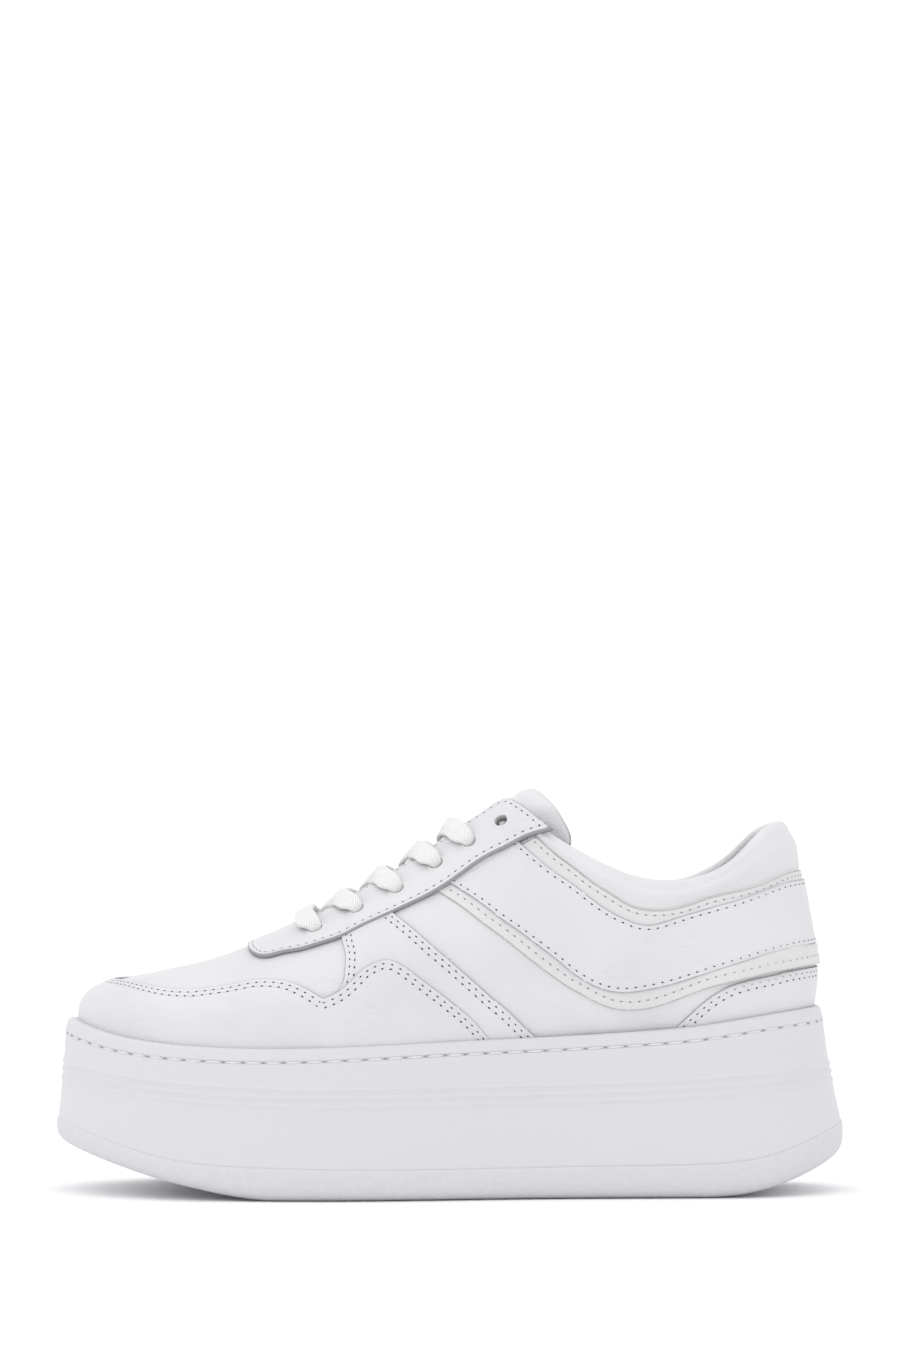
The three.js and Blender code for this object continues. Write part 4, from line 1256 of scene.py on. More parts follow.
def build_collar():
    """The padded collar: a closed sausage of soft leather laid along the top line."""
    u0 = float(place_of(COLLAR_FRONT_X, -1))
    line = even_places(np.stack([np.linspace(u0, -u0, 800)] * 2, 1) * (1, 0) + (0, 0.6), 1.1)
    u = line[:, 0]
    x = section(u)["x"]
    # the medial top line lies a little lower
    top = top_line(x) - np.where(u < 0, 0.9 * (1 - smooth((x - 82) / 14)), 0)
    seam = wrapped(COLLAR_SEAM, COLLAR_HEEL)
    order = np.argsort(seam[:, 0])
    seam_v = np.interp(u, seam[order, 0], seam[order, 1])
    start = np.clip(seam_v - 0.03, 0, 1)
    lip = v_at_height(u, top - COLLAR_ROLL)
    deep = v_at_height(u, top - COLLAR_DEEP)
    count = np.arange(len(u))
    ends = smooth(np.minimum(count, count[::-1]) / 12.0)
    none = np.zeros(len(u))
    rows = [(start, none - 0.9, none)]
    for t in np.linspace(0, 1, 16):
        puff = -0.5 + 2.0 * np.sqrt(np.clip(t * 1.7, 0, 1)) - 1.2 * smooth((t - 0.55) / 0.45)
        rows.append((seam_v + (lip - seam_v) * t, puff * (0.4 + 0.6 * ends), none))
    for a in np.linspace(0, np.pi, 12)[1:-1]:
        out = -COLLAR_ROLL + COLLAR_ROLL * math.cos(a) + 0.2
        climb = COLLAR_ROLL * math.sin(a) * (0.6 + 0.4 * ends)
        rows.append((lip, out * (0.5 + 0.5 * ends), climb))
    for t in np.linspace(0, 1, 20):
        full = 5.6 + 0.9 * math.sin(math.pi * min(t * 1.3, 1))
        depth = full - 3.0 * float(smooth((t - 0.45) / 0.55))
        rows.append((lip + (deep - lip) * t, -depth * (0.5 + 0.5 * ends), none))
    rows += [(deep, none - 1.2, none), (start, none - 1.2, none)]
    points = []
    for v, out, climb in rows:
        v = np.clip(v, 0, 1)
        at, away, up = skin(u, v), normal(u, v), unit(slopes(u, v)[1])
        points.append(at + away * (out + collar_folds(at))[:, None] + up * climb[:, None])
    grid = np.stack(points, 1).reshape(-1, 3)
    across = len(rows)
    faces = [f[::-1] for f in grid_faces(len(u), across, wrap=True)]
    faces.append(tuple(range(across)))
    faces.append(tuple(reversed(range(len(grid) - across, len(grid)))))
    # the collar's inner faces take the lining, whose grey is painted shade inside the collar
    inside = np.array([min(f) % across >= COLLAR_LINING_ROW for f in faces], np.int32)
    finishes = [finish_of("soft_leather"), finish_of("lining")]
    return made("collar_pad", grid, faces, finishes, inside)


def collar_folds(at):
    """Fine wrinkles across the padded collar."""
    x, y, z = at[:, 0], at[:, 1], at[:, 2]
    wave = np.sin((x + 0.35 * z) / 1.9 + 1.1 * np.sin(z / 3.1 + y / 9))
    wave = wave * np.sin(x / 6.3 + y / 11 + 2)
    slow = np.sin(x / 8.5 + z / 6.0) * np.cos(y / 13.0)
    return 0.11 * wave + 0.18 * slow


TONGUE_FRONT, TONGUE_HALF = -60.0, 28.5
# x and height of the tongue's end, from its top down its flank
TONGUE_END = [
    (28, 143), (31.7, 140.3), (35.1, 136.7), (38.2, 132.5), (40.4, 127.5), (40.6, 124.5),
]


def tongue_end():
    """The end of the tongue: x against the distance from the middle line."""
    places = on_side([(x, z + 1.9) for x, z in TONGUE_END[1:]], -1)
    off = np.abs(skin(places[:, 0], places[:, 1])[:, 1])
    return spline(np.concatenate([[0], off]), [x for x, _ in TONGUE_END])


def ridge_height(x, y):
    side = np.where(y < last["axis"](x), -1, 1)
    u = place_of(x, side)
    return skin(u, v_at_radius(u, np.abs(y - last["axis"](x))))[..., 2]


def over_instep(x, y, lift):
    """Points over the instep, for places given in plan, with their normals."""
    e = 0.5
    n = np.stack([
        ridge_height(x - e, y) - ridge_height(x + e, y),
        ridge_height(x, y - e) - ridge_height(x, y + e),
        np.full(np.shape(x), 2 * e),
    ], -1)
    n = unit(n)
    at = np.stack([x, y, ridge_height(x, y)], -1)
    return at + n * np.asarray(lift)[..., None], n


def build_tongue():
    """The padded tongue: two skins of soft leather over foam, closed all round."""
    along, across = 110, 64
    i = np.linspace(0, 1, along + 1)[:, None]
    q = np.linspace(-1, 1, across + 1)[None, :]
    end = tongue_end()(np.abs(q) * TONGUE_HALF)
    x = TONGUE_FRONT + (end - TONGUE_FRONT) * i
    half = TONGUE_HALF * (0.72 + 0.28 * smooth((x - TONGUE_FRONT) / 70))
    y = last["axis"](x) + q * half
    run = (end - TONGUE_FRONT) * (1 - i)
    inset = np.minimum(np.minimum(half * (1 - np.abs(q)), run), 6.0) / 6.0
    full = np.sqrt(np.clip(1 - (1 - inset) ** 2, 0, 1))
    thick = 0.6 + (4.9 + 2.4 * smooth((x - 5) / 18)) * full
    wrinkle = 0.16 * np.sin(x / 1.7 + 1.6 * np.sin(y / 5.0) + y / 6.5) * np.sin(y / 4.3 + x / 9.0)
    wrinkle = (wrinkle + 0.25 * np.sin(x / 6.0 + y / 8.0) * np.cos(y / 9.0)) * smooth((x - 2) / 14)
    lift = -2.8 - 2.6 * (1 - full) + 1.1 * smooth((x - 14) / 14) * full + wrinkle * full
    lift = lift - 9.0 * smooth((np.abs(y) - 19.5) / 8) * smooth((x - 22) / 10)
    top, n = over_instep(x, y, lift)
    under = top - n * thick[..., None]
    points = np.concatenate([top.reshape(-1, 3), under.reshape(-1, 3)])
    rows, cols = along + 1, across + 1
    faces = grid_faces(rows, cols)
    faces += [f[::-1] for f in grid_faces(rows, cols, start=rows * cols)]
    rim = [r * cols for r in range(rows)]
    rim += [(rows - 1) * cols + c for c in range(1, cols)]
    rim += [r * cols + cols - 1 for r in range(rows - 2, -1, -1)]
    rim += list(range(cols - 2, 0, -1))
    n_top = rows * cols
    for k, a in enumerate(rim):
        b = rim[(k + 1) % len(rim)]
        faces.append((a, a + n_top, b + n_top, b))
    return made("tongue_pad", points, [f[::-1] for f in faces], [finish_of("soft_leather")])


# ---------------------------------------------------------------- laces
LACE_WIDTH, LACE_THICK = 7.4, 2.1


def lace_mesh(name, stations):
    """A flat woven lace swept along stations: (point, normal, width share, thickness share)."""
    at = np.array([s[0] for s in stations], float)
    up = np.array([s[1] for s in stations], float)
    wide = np.array([s[2] for s in stations], float)
    thick = np.array([s[3] for s in stations], float)
    knots = np.concatenate([[0], np.cumsum(np.linalg.norm(np.diff(at, axis=0), axis=1))])
    t = np.linspace(0, knots[-1], max(12, int(knots[-1] / 0.35)))
    all_of = spline(knots, np.hstack([at, up]))(t)
    at, up = all_of[:, :3], unit(all_of[:, 3:])
    shape = spline(knots, np.stack([wide, thick], 1))(t)
    ahead = unit(np.gradient(at, axis=0))
    right = unit(np.cross(ahead, up))
    up = np.cross(right, ahead)
    around = 28
    a = 2 * np.pi * (np.arange(around) + 0.5) / around
    w = np.sign(np.cos(a)) * np.abs(np.cos(a)) ** 0.62 * LACE_WIDTH / 2
    h = np.sign(np.sin(a)) * np.abs(np.sin(a)) ** 0.8 * LACE_THICK / 2
    # the two ribbed halves swell beside a shallow middle line
    h = h * (1 + 0.16 * np.cos(2 * np.pi * w / LACE_WIDTH * 1.9))
    rise = h[None] * shape[:, 1:]
    ring = at[:, None] + right[:, None] * (w[None] * shape[:, :1])[..., None]
    ring = ring + up[:, None] * rise[..., None]
    rows = len(t)
    faces = [f[::-1] for f in grid_faces(rows, around, wrap=True)]
    faces.append(tuple(range(around)))
    faces.append(tuple(reversed(range((rows - 1) * around, rows * around))))
    mesh = bpy.data.meshes.new(name)
    mesh.from_pydata((ring.reshape(-1, 3) * MM).tolist(), [], faces)
    mesh.materials.append(finish_of("cotton"))
    mesh.polygons.foreach_set("use_smooth", np.ones(len(faces), bool))
    weave = mesh.uv_layers.new(name="weave")
    place = np.stack([np.repeat(t, around), np.tile(w, rows)], 1)
    corner = np.zeros(len(mesh.loops), np.int32)
    mesh.loops.foreach_get("vertex_index", corner)
    weave.data.foreach_set("uv", place[corner].ravel().astype(np.float32))
    mesh.update()
    found = bpy.data.objects.new(name, mesh)
    bpy.context.scene.collection.objects.link(found)
    return found


def eyelet_at(k, side):
    place = on_side(EYELETS[k : k + 1], side)
    return skin(place[:, 0], place[:, 1])[0], normal(place[:, 0], place[:, 1])[0]


# How far a lace's middle lies over the skin: share of the way in from the eyelet, distance
# towards the toe from the eyelet, height over the place where it would rest on the stay, and
# how far it leans towards the toe.
LACE_OVER = [
    (0.14, 2.2, 0.9, 0.15), (0.32, 4.3, 1.1, 0.4), (0.52, 6.1, 0.5, 0.75),
    (0.76, 7.6, -0.7, 0.9), (1.0, 8.6, -1.3, 0.85),
]
LACE_UNDER = [
    (0.86, -2.6, -2.0, 0.5), (0.68, -2.4, -3.4, 0.2), (0.5, -2.0, -4.8, 0), (0.3, -1.2, -5.6, 0),
]
LACE_BAR = [(0.12, 1.6, 1.2, 0.1), (0.34, 3.0, 1.7, 0.1), (1.0, 3.4, 0.4, 0)]
# The hidden end: distance past the last eyelet, depth, lean, and shares of width and thickness.
LACE_END = [
    (-7.5, 4.8, 0.0, 0.9, 1.0), (-4.6, 4.3, 0.0, 0.8, 1.0), (-2.0, 2.8, 0.8, 0.7, 1.0),
    (-0.4, 0.8, 1.6, 0.58, 1.5), (0.15, -1.0, 1.6, 0.5, 1.5),
]


def into_eyelet(k, side, toward):
    """Stations that take a lace from the stay's surface down through an eyelet."""
    at, n = eyelet_at(k, side)
    toward = unit(toward - n * (toward @ n))
    over = stay_height(at[None])[0] + LACE_THICK * 0.5
    return [
        (at + toward * 1.3 + n * (over + 0.35), unit(n - toward * 0.5), 0.78, 1.15),
        (at + toward * 0.1 + n * (over - 1.5), unit(n * 0.3 - toward), 0.56, 1.25),
        (at - toward * 0.3 + n * -0.6, unit(-toward), 0.48, 1.25),
        (at + n * -3.6, unit(-toward), 0.48, 1.15),
    ]


def hidden_end(k, side):
    """Stations that take a lace's end on under the stay, up into the eyelet of pair k."""
    at, n = eyelet_at(k, side)
    run = unit(at - eyelet_at(k - 1, side)[0])
    return [
        (at + run * ahead - n * depth, unit(n - run * lean), wide, thick)
        for ahead, depth, lean, wide, thick in LACE_END
    ]


def lace_over(k, side, table, lower=0.0):
    """Stations over the instep beside an eyelet, from the eyelet towards the middle line."""
    at, _ = eyelet_at(k, side)
    found = []
    for share, back, lift, lean in table:
        spot = np.array([at[0] - back]), np.array([at[1] * (1 - share)])
        over = stay_height(np.array([[spot[0][0], 20, 0]]))[0] + LACE_THICK / 2
        place, n = over_instep(*spot, np.array([over + lift - lower * share]))
        found.append((place[0], unit(n[0] + np.array([-lean, 0, 0])), 1.0, 1.0))
    return found


def build_laces():
    """A bar over the first pair of eyelets, then two crossing runs for each further pair."""
    pieces, halves = [], []
    for side in (-1, 1):
        over = lace_over(0, side, LACE_BAR)
        toward = over[1][0] - eyelet_at(0, side)[0]
        halves.append(into_eyelet(0, side, toward)[::-1] + over)
    pieces.append(lace_mesh("lace_bar_cotton", halves[0] + halves[1][::-1][1:]))
    for k in range(LACED_PAIRS - 1):
        for side, word in ((-1, "lateral"), (1, "medial")):
            lower = 0.0 if side < 0 else 2.1
            over = lace_over(k + 1, side, LACE_OVER, lower)
            under = lace_over(k, -side, LACE_UNDER, lower)
            low, n = eyelet_at(k, -side)
            start = [(low - n * 3.4, n, 0.8, 1.0)]
            toward = over[1][0] - eyelet_at(k + 1, side)[0]
            stations = start + under[::-1] + over[::-1] + into_eyelet(k + 1, side, toward)
            if k + 2 == LACED_PAIRS:
                stations += hidden_end(k + 2, side)
            pieces.append(lace_mesh(f"lace_{k + 1}_{word}", stations))
    return pieces


# ---------------------------------------------------------------- the sole
def wall_out(x, z):
    share = np.clip((sole["rim"](x) - z) / (sole["rim"](x) - sole["parting"](x)), 0, 1)
    return sole["out"](x) + sole["flare"](x) * share**1.5


def rim_path(count):
    """Places round the shoe at even steps, with the rim's point and its way out."""
    share = np.arange(count) / count * 2
    u = share - 0.035 * np.sin(2 * np.pi * share)
    x = section(u)["x"]

    def at(p):
        return skin(p, v_at_height(p, sole["rim"](section(p)["x"])))

    here = at(u)
    along = at(u + 0.004) - at(u - 0.004)
    out = unit(np.stack([-along[:, 1], along[:, 0], 0 * along[:, 0]], 1))
    return u, x, here, out


def ring_at(path, out, z):
    _, _, here, away = path
    points = here + away * np.broadcast_to(out, len(here))[:, None]
    points[:, 2] = z
    return points


STITCH_DROP = 4.6
RIB_COUNT, RIB_PITCH, RIB_PROUD = 3, 2.9, 0.48
# Across the stitch channel: distance below its middle, and how far the wall stands out.
CHANNEL = [
    (-0.9, 0.0), (-0.62, -0.05), (-0.4, -0.3), (0.0, -0.42), (0.4, -0.3), (0.62, -0.08),
    (0.9, -0.06),
]
# Down one rib, in shares of its pitch and of its height.
RIB_SHAPE = [(0, 0), (0.1, 0.45), (0.2, 0.9), (0.32, 1), (0.46, 0.6), (0.66, 0.15), (0.84, 0)]
# The tread's lip round the foot of the platform: out from its wall, and up from the parting.
TREAD_LIP = [(-1.2, -0.03), (-0.5, -0.03), (-0.25, 0.7), (0.0, 0.66), (0.18, 0.34), (0.34, -0.1)]
# The tread's side: share of its height, and out from the platform's wall.
TREAD_SIDE = [
    (0.9, 0.42), (0.78, 0.46), (0.66, 0.46), (0.54, 0.36), (0.42, 0.1), (0.32, -0.35),
    (0.24, -0.9), (0.17, -1.6), (0.11, -2.5), (0.06, -3.6), (0.025, -4.9), (0.0, -6.4),
]
TREAD_GROOVE, TREAD_PITCH, TREAD_TURN = 1.8, 9.0, 0.22
TREAD_BANDS = ((-96, -10), (42, 106))


def channel_drop(x):
    """How far the stitch channel lies below the rim: a little more at the ends."""
    return STITCH_DROP + 0.5 * smooth(np.abs(x) / 130)


def tread_level(x):
    def lift(d, over, height, power):
        return height * np.clip(d / over, 0, 1.3) ** power

    return lift(FLAT_FROM - x, 68, 16.2, 1.45) + lift(x - FLAT_TO, 48, 14.3, 2.3)


def to_spine(path, ring, lift, steps):
    """Rings that close a surface inwards on the middle line, at a level given by lift."""
    u = path[0]
    s = section(u)
    middle = np.stack([s["sx"], s["sy"], ring[:, 2]], 1)
    rings = []
    for t in np.linspace(0, 1, steps + 1)[1:]:
        points = ring + (middle - ring) * t
        points[:, 2] = lift(points)
        rings.append(points)
    return rings


def build_platform():
    """The platform: rim, stitch channel, three fine ribs and a flared wall."""
    path = rim_path(760)
    x = path[1]
    rim, rib, parting = sole["rim"](x), sole["rib"](x), sole["parting"](x)
    rows = []

    def row(z, extra=0.0):
        rows.append(ring_at(path, wall_out(x, z) + extra, z))

    floor = rim - CUP_DEPTH
    # the cup: wall and floor
    rows.append(ring_at(path, np.full(len(x), 0.35), floor))
    rows.append(ring_at(path, np.full(len(x), 0.35), rim - 1.6))
    for a in np.linspace(0, 1, 5):
        rows.append(ring_at(path, 0.5 + 0.9 * a, rim - 1.1 * (1 - a) ** 2 - 0.1))
    for a in np.linspace(0.15, 1, 7):
        turn = a * np.pi / 2
        out = sole["out"](x) - 2.35 + 1.9 * math.sin(turn)
        rows.append(ring_at(path, out, rim - 1.9 * (1 - math.cos(turn))))
    row(rim - 2.4, -0.38)
    row(rim - 3.0, -0.28)
    drop = channel_drop(x)
    for below, out in CHANNEL:
        row(rim - (drop + below), out)
    row(rim - drop - 2.4, -0.06)
    row((rim - drop + rib) / 2 - 1, -0.05)
    row(rib + 1.2, -0.04)
    row(rib + 0.35, 0.0)
    for i in range(RIB_COUNT):
        top = rib - i * RIB_PITCH
        for share, proud in RIB_SHAPE:
            row(top - share * RIB_PITCH, proud * RIB_PROUD)
    under = rib - RIB_COUNT * RIB_PITCH
    for t in np.linspace(0, 1, 14):
        row(under + (parting + 0.03 - under) * t)
    inner = rows[-1] - path[3] * 0.9
    inner[:, 2] = parting + 0.03
    rows.append(inner)
    top_of_cup = to_spine(path, rows[0], lambda p: sole["rim"](p[:, 0]) - CUP_DEPTH, 6)
    bottom = to_spine(path, rows[-1], lambda p: sole["parting"](p[:, 0]) + 0.03, 6)
    rings = top_of_cup[::-1] + rows + bottom
    points = np.vstack(rings)
    faces = grid_faces(len(rings), len(x), wrap=True)
    return made("platform_rubber", points, outward(points, faces), [finish_of("rubber")])


def outward(points, faces):
    """Faces turned so that they look away from the middle of the piece."""
    tri = np.array([f[:3] for f in faces])
    a, b, c = points[tri[:, 0]], points[tri[:, 1]], points[tri[:, 2]]
    volume = (np.cross(a, b) * c).sum()
    quads = np.array([(f[0], f[2], f[3]) for f in faces if len(f) == 4])
    if len(quads):
        a, b, c = points[quads[:, 0]], points[quads[:, 1]], points[quads[:, 2]]
        volume += (np.cross(a, b) * c).sum()
    return faces if volume > 0 else [f[::-1] for f in faces]


def tread_cut(x, y):
    """How deep the chevron grooves are at places in plan, as a share."""
    side = np.where(y < last["axis"](x), -1, 1)
    off = np.abs(y - last["axis"](x))
    room = half_width(x, side) - 10
    ends = smooth((off - 0.8) / 0.8) * (1 - smooth(off - room))
    cut = np.zeros_like(x)
    for low, high in TREAD_BANDS:
        count = int((high - low) // TREAD_PITCH) + 1
        phase = (x + off * math.tan(TREAD_TURN) - low) / TREAD_PITCH
        nearest = np.round(phase)
        near = np.abs(phase - nearest) * TREAD_PITCH * math.cos(TREAD_TURN)
        groove = 1 - smooth((near - 1.0) / 0.7)
        cut = np.maximum(cut, np.where((nearest >= 0) & (nearest < count), groove * ends, 0))
    return cut


def build_tread():
    path = rim_path(700)
    x = path[1]
    parting, low = sole["parting"](x), tread_level(x)
    wall = wall_out(x, parting)
    rows = [ring_at(path, wall + out, parting + climb) for out, climb in TREAD_LIP]
    for share, out in TREAD_SIDE:
        rows.append(ring_at(path, wall + out, low + (parting - low) * share))
    level = lambda p: tread_level(p[:, 0]) + TREAD_GROOVE * tread_cut(p[:, 0], p[:, 1])
    bottom = to_spine(path, rows[-1], level, 56)
    top = to_spine(path, rows[0], lambda p: sole["parting"](p[:, 0]) - 0.03, 5)
    rings = top[::-1] + rows + bottom
    points = np.vstack(rings)
    faces = outward(points, grid_faces(len(rings), len(x), wrap=True))
    return made("tread_rubber", points, faces, [finish_of("tread")])


def build_footbed():
    """The insole: a thin bed with a rolled edge and a soft hollow under the heel."""
    path = rim_path(420)
    u, x = path[0], path[1]
    floor = sole["rim"](x) - CUP_DEPTH

    def ring(lift, inset):
        z = floor + lift
        v = v_at_height(u, np.maximum(z, section(u)["seat"] + 0.01))
        out = normal(u, v) * (1, 1, 0)
        at = skin(u, v) - unit(out) * (WALL + 0.25 + inset)
        at[:, 2] = z
        return at

    rows = [ring(0.4, 0.3), ring(3.6, 0.1), ring(4.4, 0.35), ring(4.9, 0.9), ring(5.0, 1.8)]
    bed = lambda p: sole["rim"](p[:, 0]) - CUP_DEPTH + 5.0 - 0.8 * np.exp(
        -(((p[:, 0] - 92) / 26) ** 2) - ((p[:, 1] / 17) ** 2)
    )
    over = to_spine(path, rows[-1], bed, 22)
    under = to_spine(path, rows[0], lambda p: sole["rim"](p[:, 0]) - CUP_DEPTH + 0.4, 4)
    rings = under[::-1] + rows + over
    points = np.vstack(rings)
    faces = outward(points, grid_faces(len(rings), len(u), wrap=True))
    return made("footbed", points, faces, [finish_of("lining")])


# ---------------------------------------------------------------- seams
def seam_rows(fine):
    """Every row of stitches: its places, the height it lies at, and if its holes are faint."""
    rows = []
    coarse = fine + 0.1

    def along(lines, whole, distances, height, pitch=fine, faint=False):
        borders = [skin(whole[:, 0], whole[:, 1])]
        for line in lines:
            for distance in distances:
                found = inner_row(line, distance, borders)
                if len(found) > 3:
                    rows.append((even_places(found, pitch), height, faint))

    guard = guard_outline()
    along(guard[:3], joined(*guard), (1.6, 3.3), guard_height)
    for side in (-1, 1):
        strip = strip_outline(side)
        sign = -side
        along((strip[0], strip[3]), joined(*strip), (sign * 1.6, sign * 3.4), strip_height)
    low, panel, high, counter = (joined(*lines) for lines in heel_outlines())
    along([wrapped(LOW_BAND, LOW_BAND_HEEL)], low, (3.0,), low_band_height, coarse, True)
    along([wrapped(SIDE_LOW, SIDE_LOW_HEEL)], panel, (1.55,), side_panel_height, coarse)
    along([wrapped(SIDE_TOP, SIDE_TOP_HEEL)], panel, (-1.55,), side_panel_height, coarse)
    along([wrapped(COLLAR_SEAM, COLLAR_HEEL)], high, (-1.7,), top_band_height, coarse, True)
    along([counter_outline()[0]], counter, (-1.6, -3.3), counter_height, coarse)
    stay = stay_outline()
    ends = [np.vstack([stay[3], stay[0][1:]]), np.vstack([stay[1], stay[2][1:]])]
    along(ends, joined(*stay), (1.8,), stay_height)
    return rows


def inner_row(line, distance, whole):
    """A line moved along the skin, without what comes nearer than that to the whole edge."""
    found = offset_ring(line, distance, closed=False)
    spot = skin(found[:, 0], found[:, 1])
    return found[edge_distance(spot, whole) > abs(distance) * 0.93]


# ---------------------------------------------------------------- settings and operators
class SneakerSettings(bpy.types.PropertyGroup):
    stitch_pitch: bpy.props.FloatProperty(
        name="Stitch pitch", description="Distance from hole to hole in the leather seams",
        default=3.05, min=1.5, max=6,
    )
    thread_width: bpy.props.FloatProperty(
        name="Thread width", description="Width of the sewing thread", default=0.5, min=0.2, max=1.2
    )
    hole_size: bpy.props.FloatProperty(
        name="Needle hole", description="Width of a needle hole", default=0.62, min=0.2, max=1.5
    )
    sole_pitch: bpy.props.FloatProperty(
        name="Sole stitch pitch", description="Distance between the sole's long stitches",
        default=7.0, min=4, max=14,
    )
    camera_lens: bpy.props.FloatProperty(
        name="Lens", description="Focal length for a 36 mm sensor", default=108.4,
        subtype="DISTANCE_CAMERA",
    )
    camera_distance: bpy.props.FloatProperty(
        name="Camera distance", description="From the shoe's middle line", default=1.45,
        unit="LENGTH", subtype="DISTANCE",
    )
    camera_height: bpy.props.FloatProperty(
        name="Camera height", description="Above the floor", default=0.125,
        unit="LENGTH", subtype="DISTANCE",
    )
    camera_pitch: bpy.props.FloatProperty(
        name="Camera pitch", description="Upward tilt", default=math.radians(2.28),
        unit="ROTATION", subtype="ANGLE",
    )


class SneakerOperator:
    """What every operator of this add-on shares."""

    bl_options = {"REGISTER", "UNDO"}

    @property
    def settings(self):
        return bpy.context.scene.sneaker


class SNEAKER_OT_stage(SneakerOperator, bpy.types.Operator):
    """Set up the camera, the white ground and the soft studio light"""

    bl_idname = "sneaker.stage"
    bl_label = "Stage"

    def execute(self, context):
        s = self.settings
        camera = bpy.data.objects.new("camera", bpy.data.cameras.new("camera"))
        camera.location = (0, -s.camera_distance, s.camera_height)
        camera.rotation_euler = (math.pi / 2 + s.camera_pitch, 0, 0)
        camera.data.lens = s.camera_lens
        camera.data.sensor_width = 36
        camera.data.clip_end = 60
        context.scene.collection.objects.link(camera)
        context.scene.camera = camera
        edge = 14.0
        mesh = bpy.data.meshes.new("studio_ground")
        corners = [(-edge, -edge, 0), (edge, -edge, 0), (edge, edge, 0), (-edge, edge, 0)]
        mesh.from_pydata(corners, [], [(0, 1, 2, 3)])
        mesh.materials.append(finish_of("paper"))
        ground = bpy.data.objects.new("studio_ground", mesh)
        context.scene.collection.objects.link(ground)
        for name, place, size, energy in (
            ("light_above", (-0.35, -0.35, 1.5), 2.2, 6.5),
            ("light_front", (-0.9, -1.9, 1.1), 1.2, 0.6),
        ):
            light = bpy.data.lights.new(name, "AREA")
            light.energy, light.size = energy, size
            lamp = bpy.data.objects.new(name, light)
            lamp.location = place
            aim = Vector((0, 0, 0.06)) - Vector(place)
            lamp.rotation_euler = aim.to_track_quat("-Z", "Y").to_euler()
            context.scene.collection.objects.link(lamp)
        world = bpy.data.worlds.new("studio")
        world.use_nodes = True
        world.node_tree.nodes["Background"].inputs[0].default_value = linear("FDFDFE")
        world.node_tree.nodes["Background"].inputs[1].default_value = 1.07
        context.scene.world = world
        context.scene.view_settings.view_transform = "Standard"
        return {"FINISHED"}


class SNEAKER_OT_sole(SneakerOperator, bpy.types.Operator):
    """Build the platform, the tread and the footbed"""

    bl_idname = "sneaker.sole"
    bl_label = "Sole"

    def execute(self, context):
        fitted(build_platform(), "midsole_rubber", "midsole")
        fitted(build_tread(), "outsole_rubber", "outsole")
        fitted(build_footbed(), "lining", "insole")
        return {"FINISHED"}


class SNEAKER_OT_shell(SneakerOperator, bpy.types.Operator):
    """Build the upper's wall: vamp and quarters outside, lining inside"""

    bl_idname = "sneaker.shell"
    bl_label = "Vamp and quarters"

    def execute(self, context):
        fitted(build_shell(), "leather", "upper")
        return {"FINISHED"}


class SNEAKER_OT_overlays(SneakerOperator, bpy.types.Operator):
    """Build the side strips, bands, side panel, heel counter and toe guard"""

    bl_idname = "sneaker.overlays"
    bl_label = "Leather overlays"

    def execute(self, context):
        pieces, counter, guard = build_overlays()
        for piece in pieces:
            fitted(piece, "leather")
        fitted(counter, "leather", "heel_counter")
        fitted(guard, "leather", "toe_guard")
        fitted(build_stay(), "leather", "lace_stay")
        return {"FINISHED"}


class SNEAKER_OT_padding(SneakerOperator, bpy.types.Operator):
    """Build the padded collar and the padded tongue"""

    bl_idname = "sneaker.padding"
    bl_label = "Collar and tongue"

    def execute(self, context):
        collar = fitted(build_collar(), "soft_leather")
        tongue = fitted(build_tongue(), "soft_leather", "tongue")
        return {"FINISHED"}


class SNEAKER_OT_laces(SneakerOperator, bpy.types.Operator):
    """Run the flat lace through the eyelets"""

    bl_idname = "sneaker.laces"
    bl_label = "Laces"

    def execute(self, context):
        nodes = {"lace_bar_cotton": "lace_bar"}
        for k in range(1, LACED_PAIRS):
            nodes[f"lace_{k}_lateral"] = f"lace_cross_{k}"
        for piece in build_laces():
            fitted(piece, "cotton_lace", *([nodes[piece.name]] if piece.name in nodes else []))
        return {"FINISHED"}


class SNEAKER_OT_seams(SneakerOperator, bpy.types.Operator):
    """Sew the rows of stitches on the upper"""

    bl_idname = "sneaker.seams"
    bl_label = "Leather seams"

    def execute(self, context):
        s = self.settings
        holes, threads = {False: [], True: []}, []
        for places, height, faint in seam_rows(s.stitch_pitch):
            spot = skin(places[:, 0], places[:, 1])
            at, middle, ahead, up, away = row_frames(places, height(spot) - 0.09)
            holes[faint].append((at, unit(np.vstack([ahead, ahead[-1:]])), away))
            threads.append((middle, ahead, up))
        # the holes are small dots over the leather, coloured as painted shade
        for name, faint, finish in (("needle_holes", False, "needle_hole"),
                                    ("shallow_needle_holes", True, "faint_hole")):
            at, turn, away = (np.vstack(a) for a in zip(*holes[faint]))
            size = (s.hole_size * 1.45, s.hole_size, 0.2)
            fitted(sewn(name, at, turn, away, size, finish_of(finish)), "leather")
        middle, ahead, up = (np.vstack(a) for a in zip(*threads))
        length = s.stitch_pitch - s.hole_size * 1.2
        strand = sewn("sewing_thread_rows", middle, ahead, up, (length, s.thread_width, 0.42),
                      finish_of("thread"))
        fitted(strand, "leather")
        return {"FINISHED"}


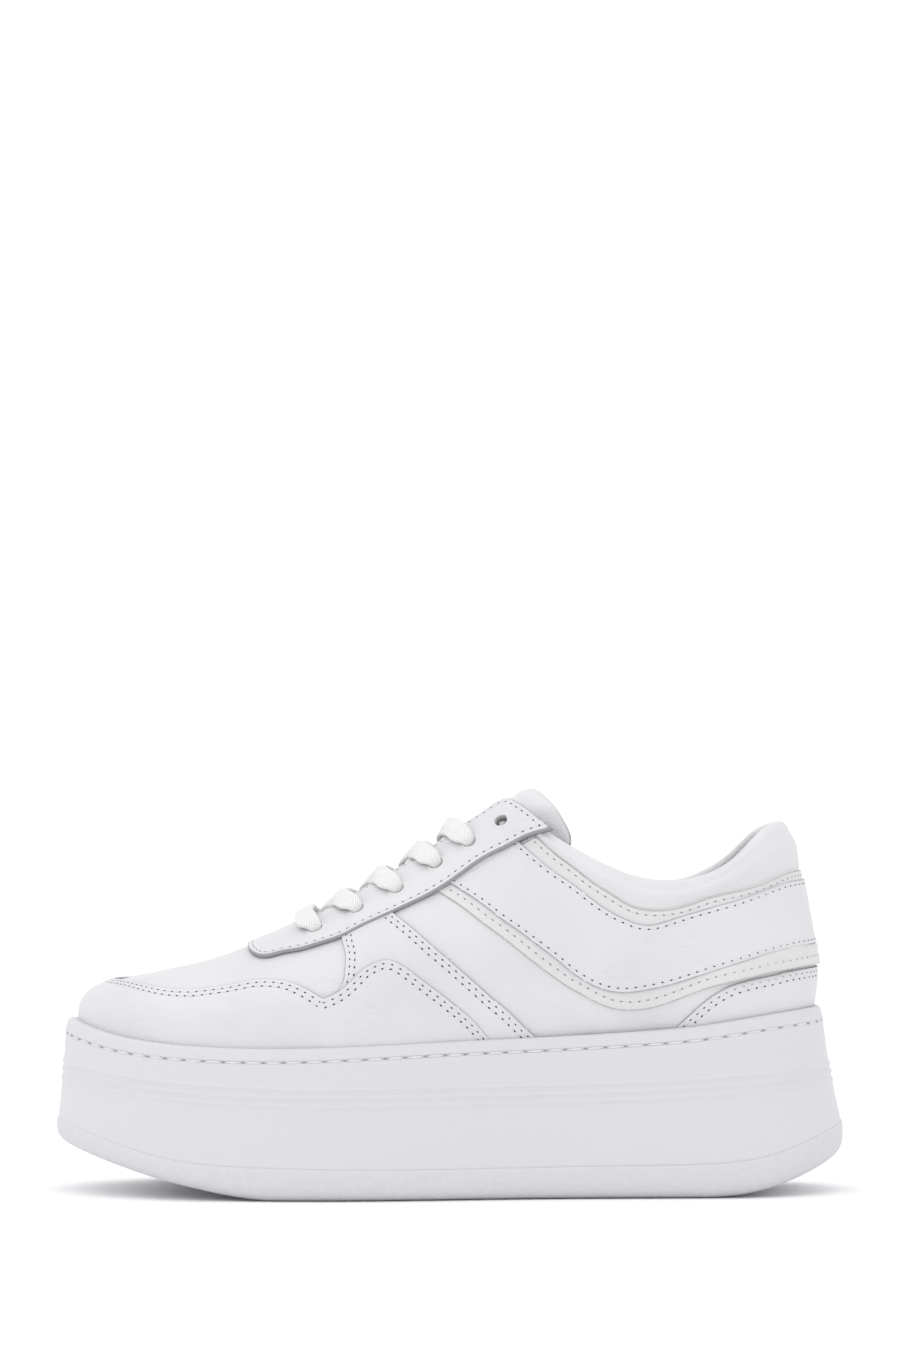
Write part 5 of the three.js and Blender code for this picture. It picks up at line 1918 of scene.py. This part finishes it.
class SNEAKER_OT_sole_seam(SneakerOperator, bpy.types.Operator):
    """Sew the long stitches round the platform"""

    bl_idname = "sneaker.sole_seam"
    bl_label = "Sole seam"

    def execute(self, context):
        s = self.settings
        path = rim_path(1200)
        x = path[1]
        z = sole["rim"](x) - channel_drop(x)
        line = ring_at(path, wall_out(x, z) - 0.3, z)
        at = spaced(np.hstack([line, path[3]]), s.sole_pitch, closed=True)
        at, away = at[:, :3], unit(at[:, 3:])
        after = np.roll(at, -1, axis=0)
        out = unit(away + np.roll(away, -1, axis=0))
        middle = (at + after) / 2 + out * 0.1
        ahead = unit(after - at)
        dimple = sewn("sole_seam_hole_shade_dots", at + away * 0.08, ahead, away, (1.15, 0.6, 0.35),
                      finish_of("sole_hole"))
        fitted(dimple, "midsole_rubber")
        strand = sewn("sole_seam_thread", middle, ahead, out,
                      (s.sole_pitch - 0.9, 0.85, 0.4), finish_of("thread"), around=10)
        fitted(strand, "midsole_rubber")
        return {"FINISHED"}


class SNEAKER_PT_panel(bpy.types.Panel):
    """Lists what the add-on builds"""

    bl_idname = "SNEAKER_PT_panel"
    bl_label = "Platform sneaker"
    bl_space_type = "VIEW_3D"
    bl_region_type = "UI"
    bl_category = "Sneaker"

    def draw(self, context):
        settings = context.scene.sneaker
        for name in SneakerSettings.__annotations__:
            self.layout.prop(settings, name)
        for operator in OPERATORS:
            self.layout.operator(operator.bl_idname)


OPERATORS = (
    SNEAKER_OT_stage, SNEAKER_OT_sole, SNEAKER_OT_shell, SNEAKER_OT_overlays,
    SNEAKER_OT_padding, SNEAKER_OT_laces, SNEAKER_OT_seams, SNEAKER_OT_sole_seam,
)
CLASSES = (SneakerSettings, *OPERATORS, SNEAKER_PT_panel)


def register():
    for cls in CLASSES:
        bpy.utils.register_class(cls)
    bpy.types.Scene.sneaker = bpy.props.PointerProperty(type=SneakerSettings)


def unregister():
    del bpy.types.Scene.sneaker
    for cls in reversed(CLASSES):
        bpy.utils.unregister_class(cls)


def main():
    """Builds the whole shoe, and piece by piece."""
    register()
    for operator in OPERATORS:
        group, name = operator.bl_idname.split(".")
        getattr(getattr(bpy.ops, group), name)()


if __name__ == "__main__":
    main()
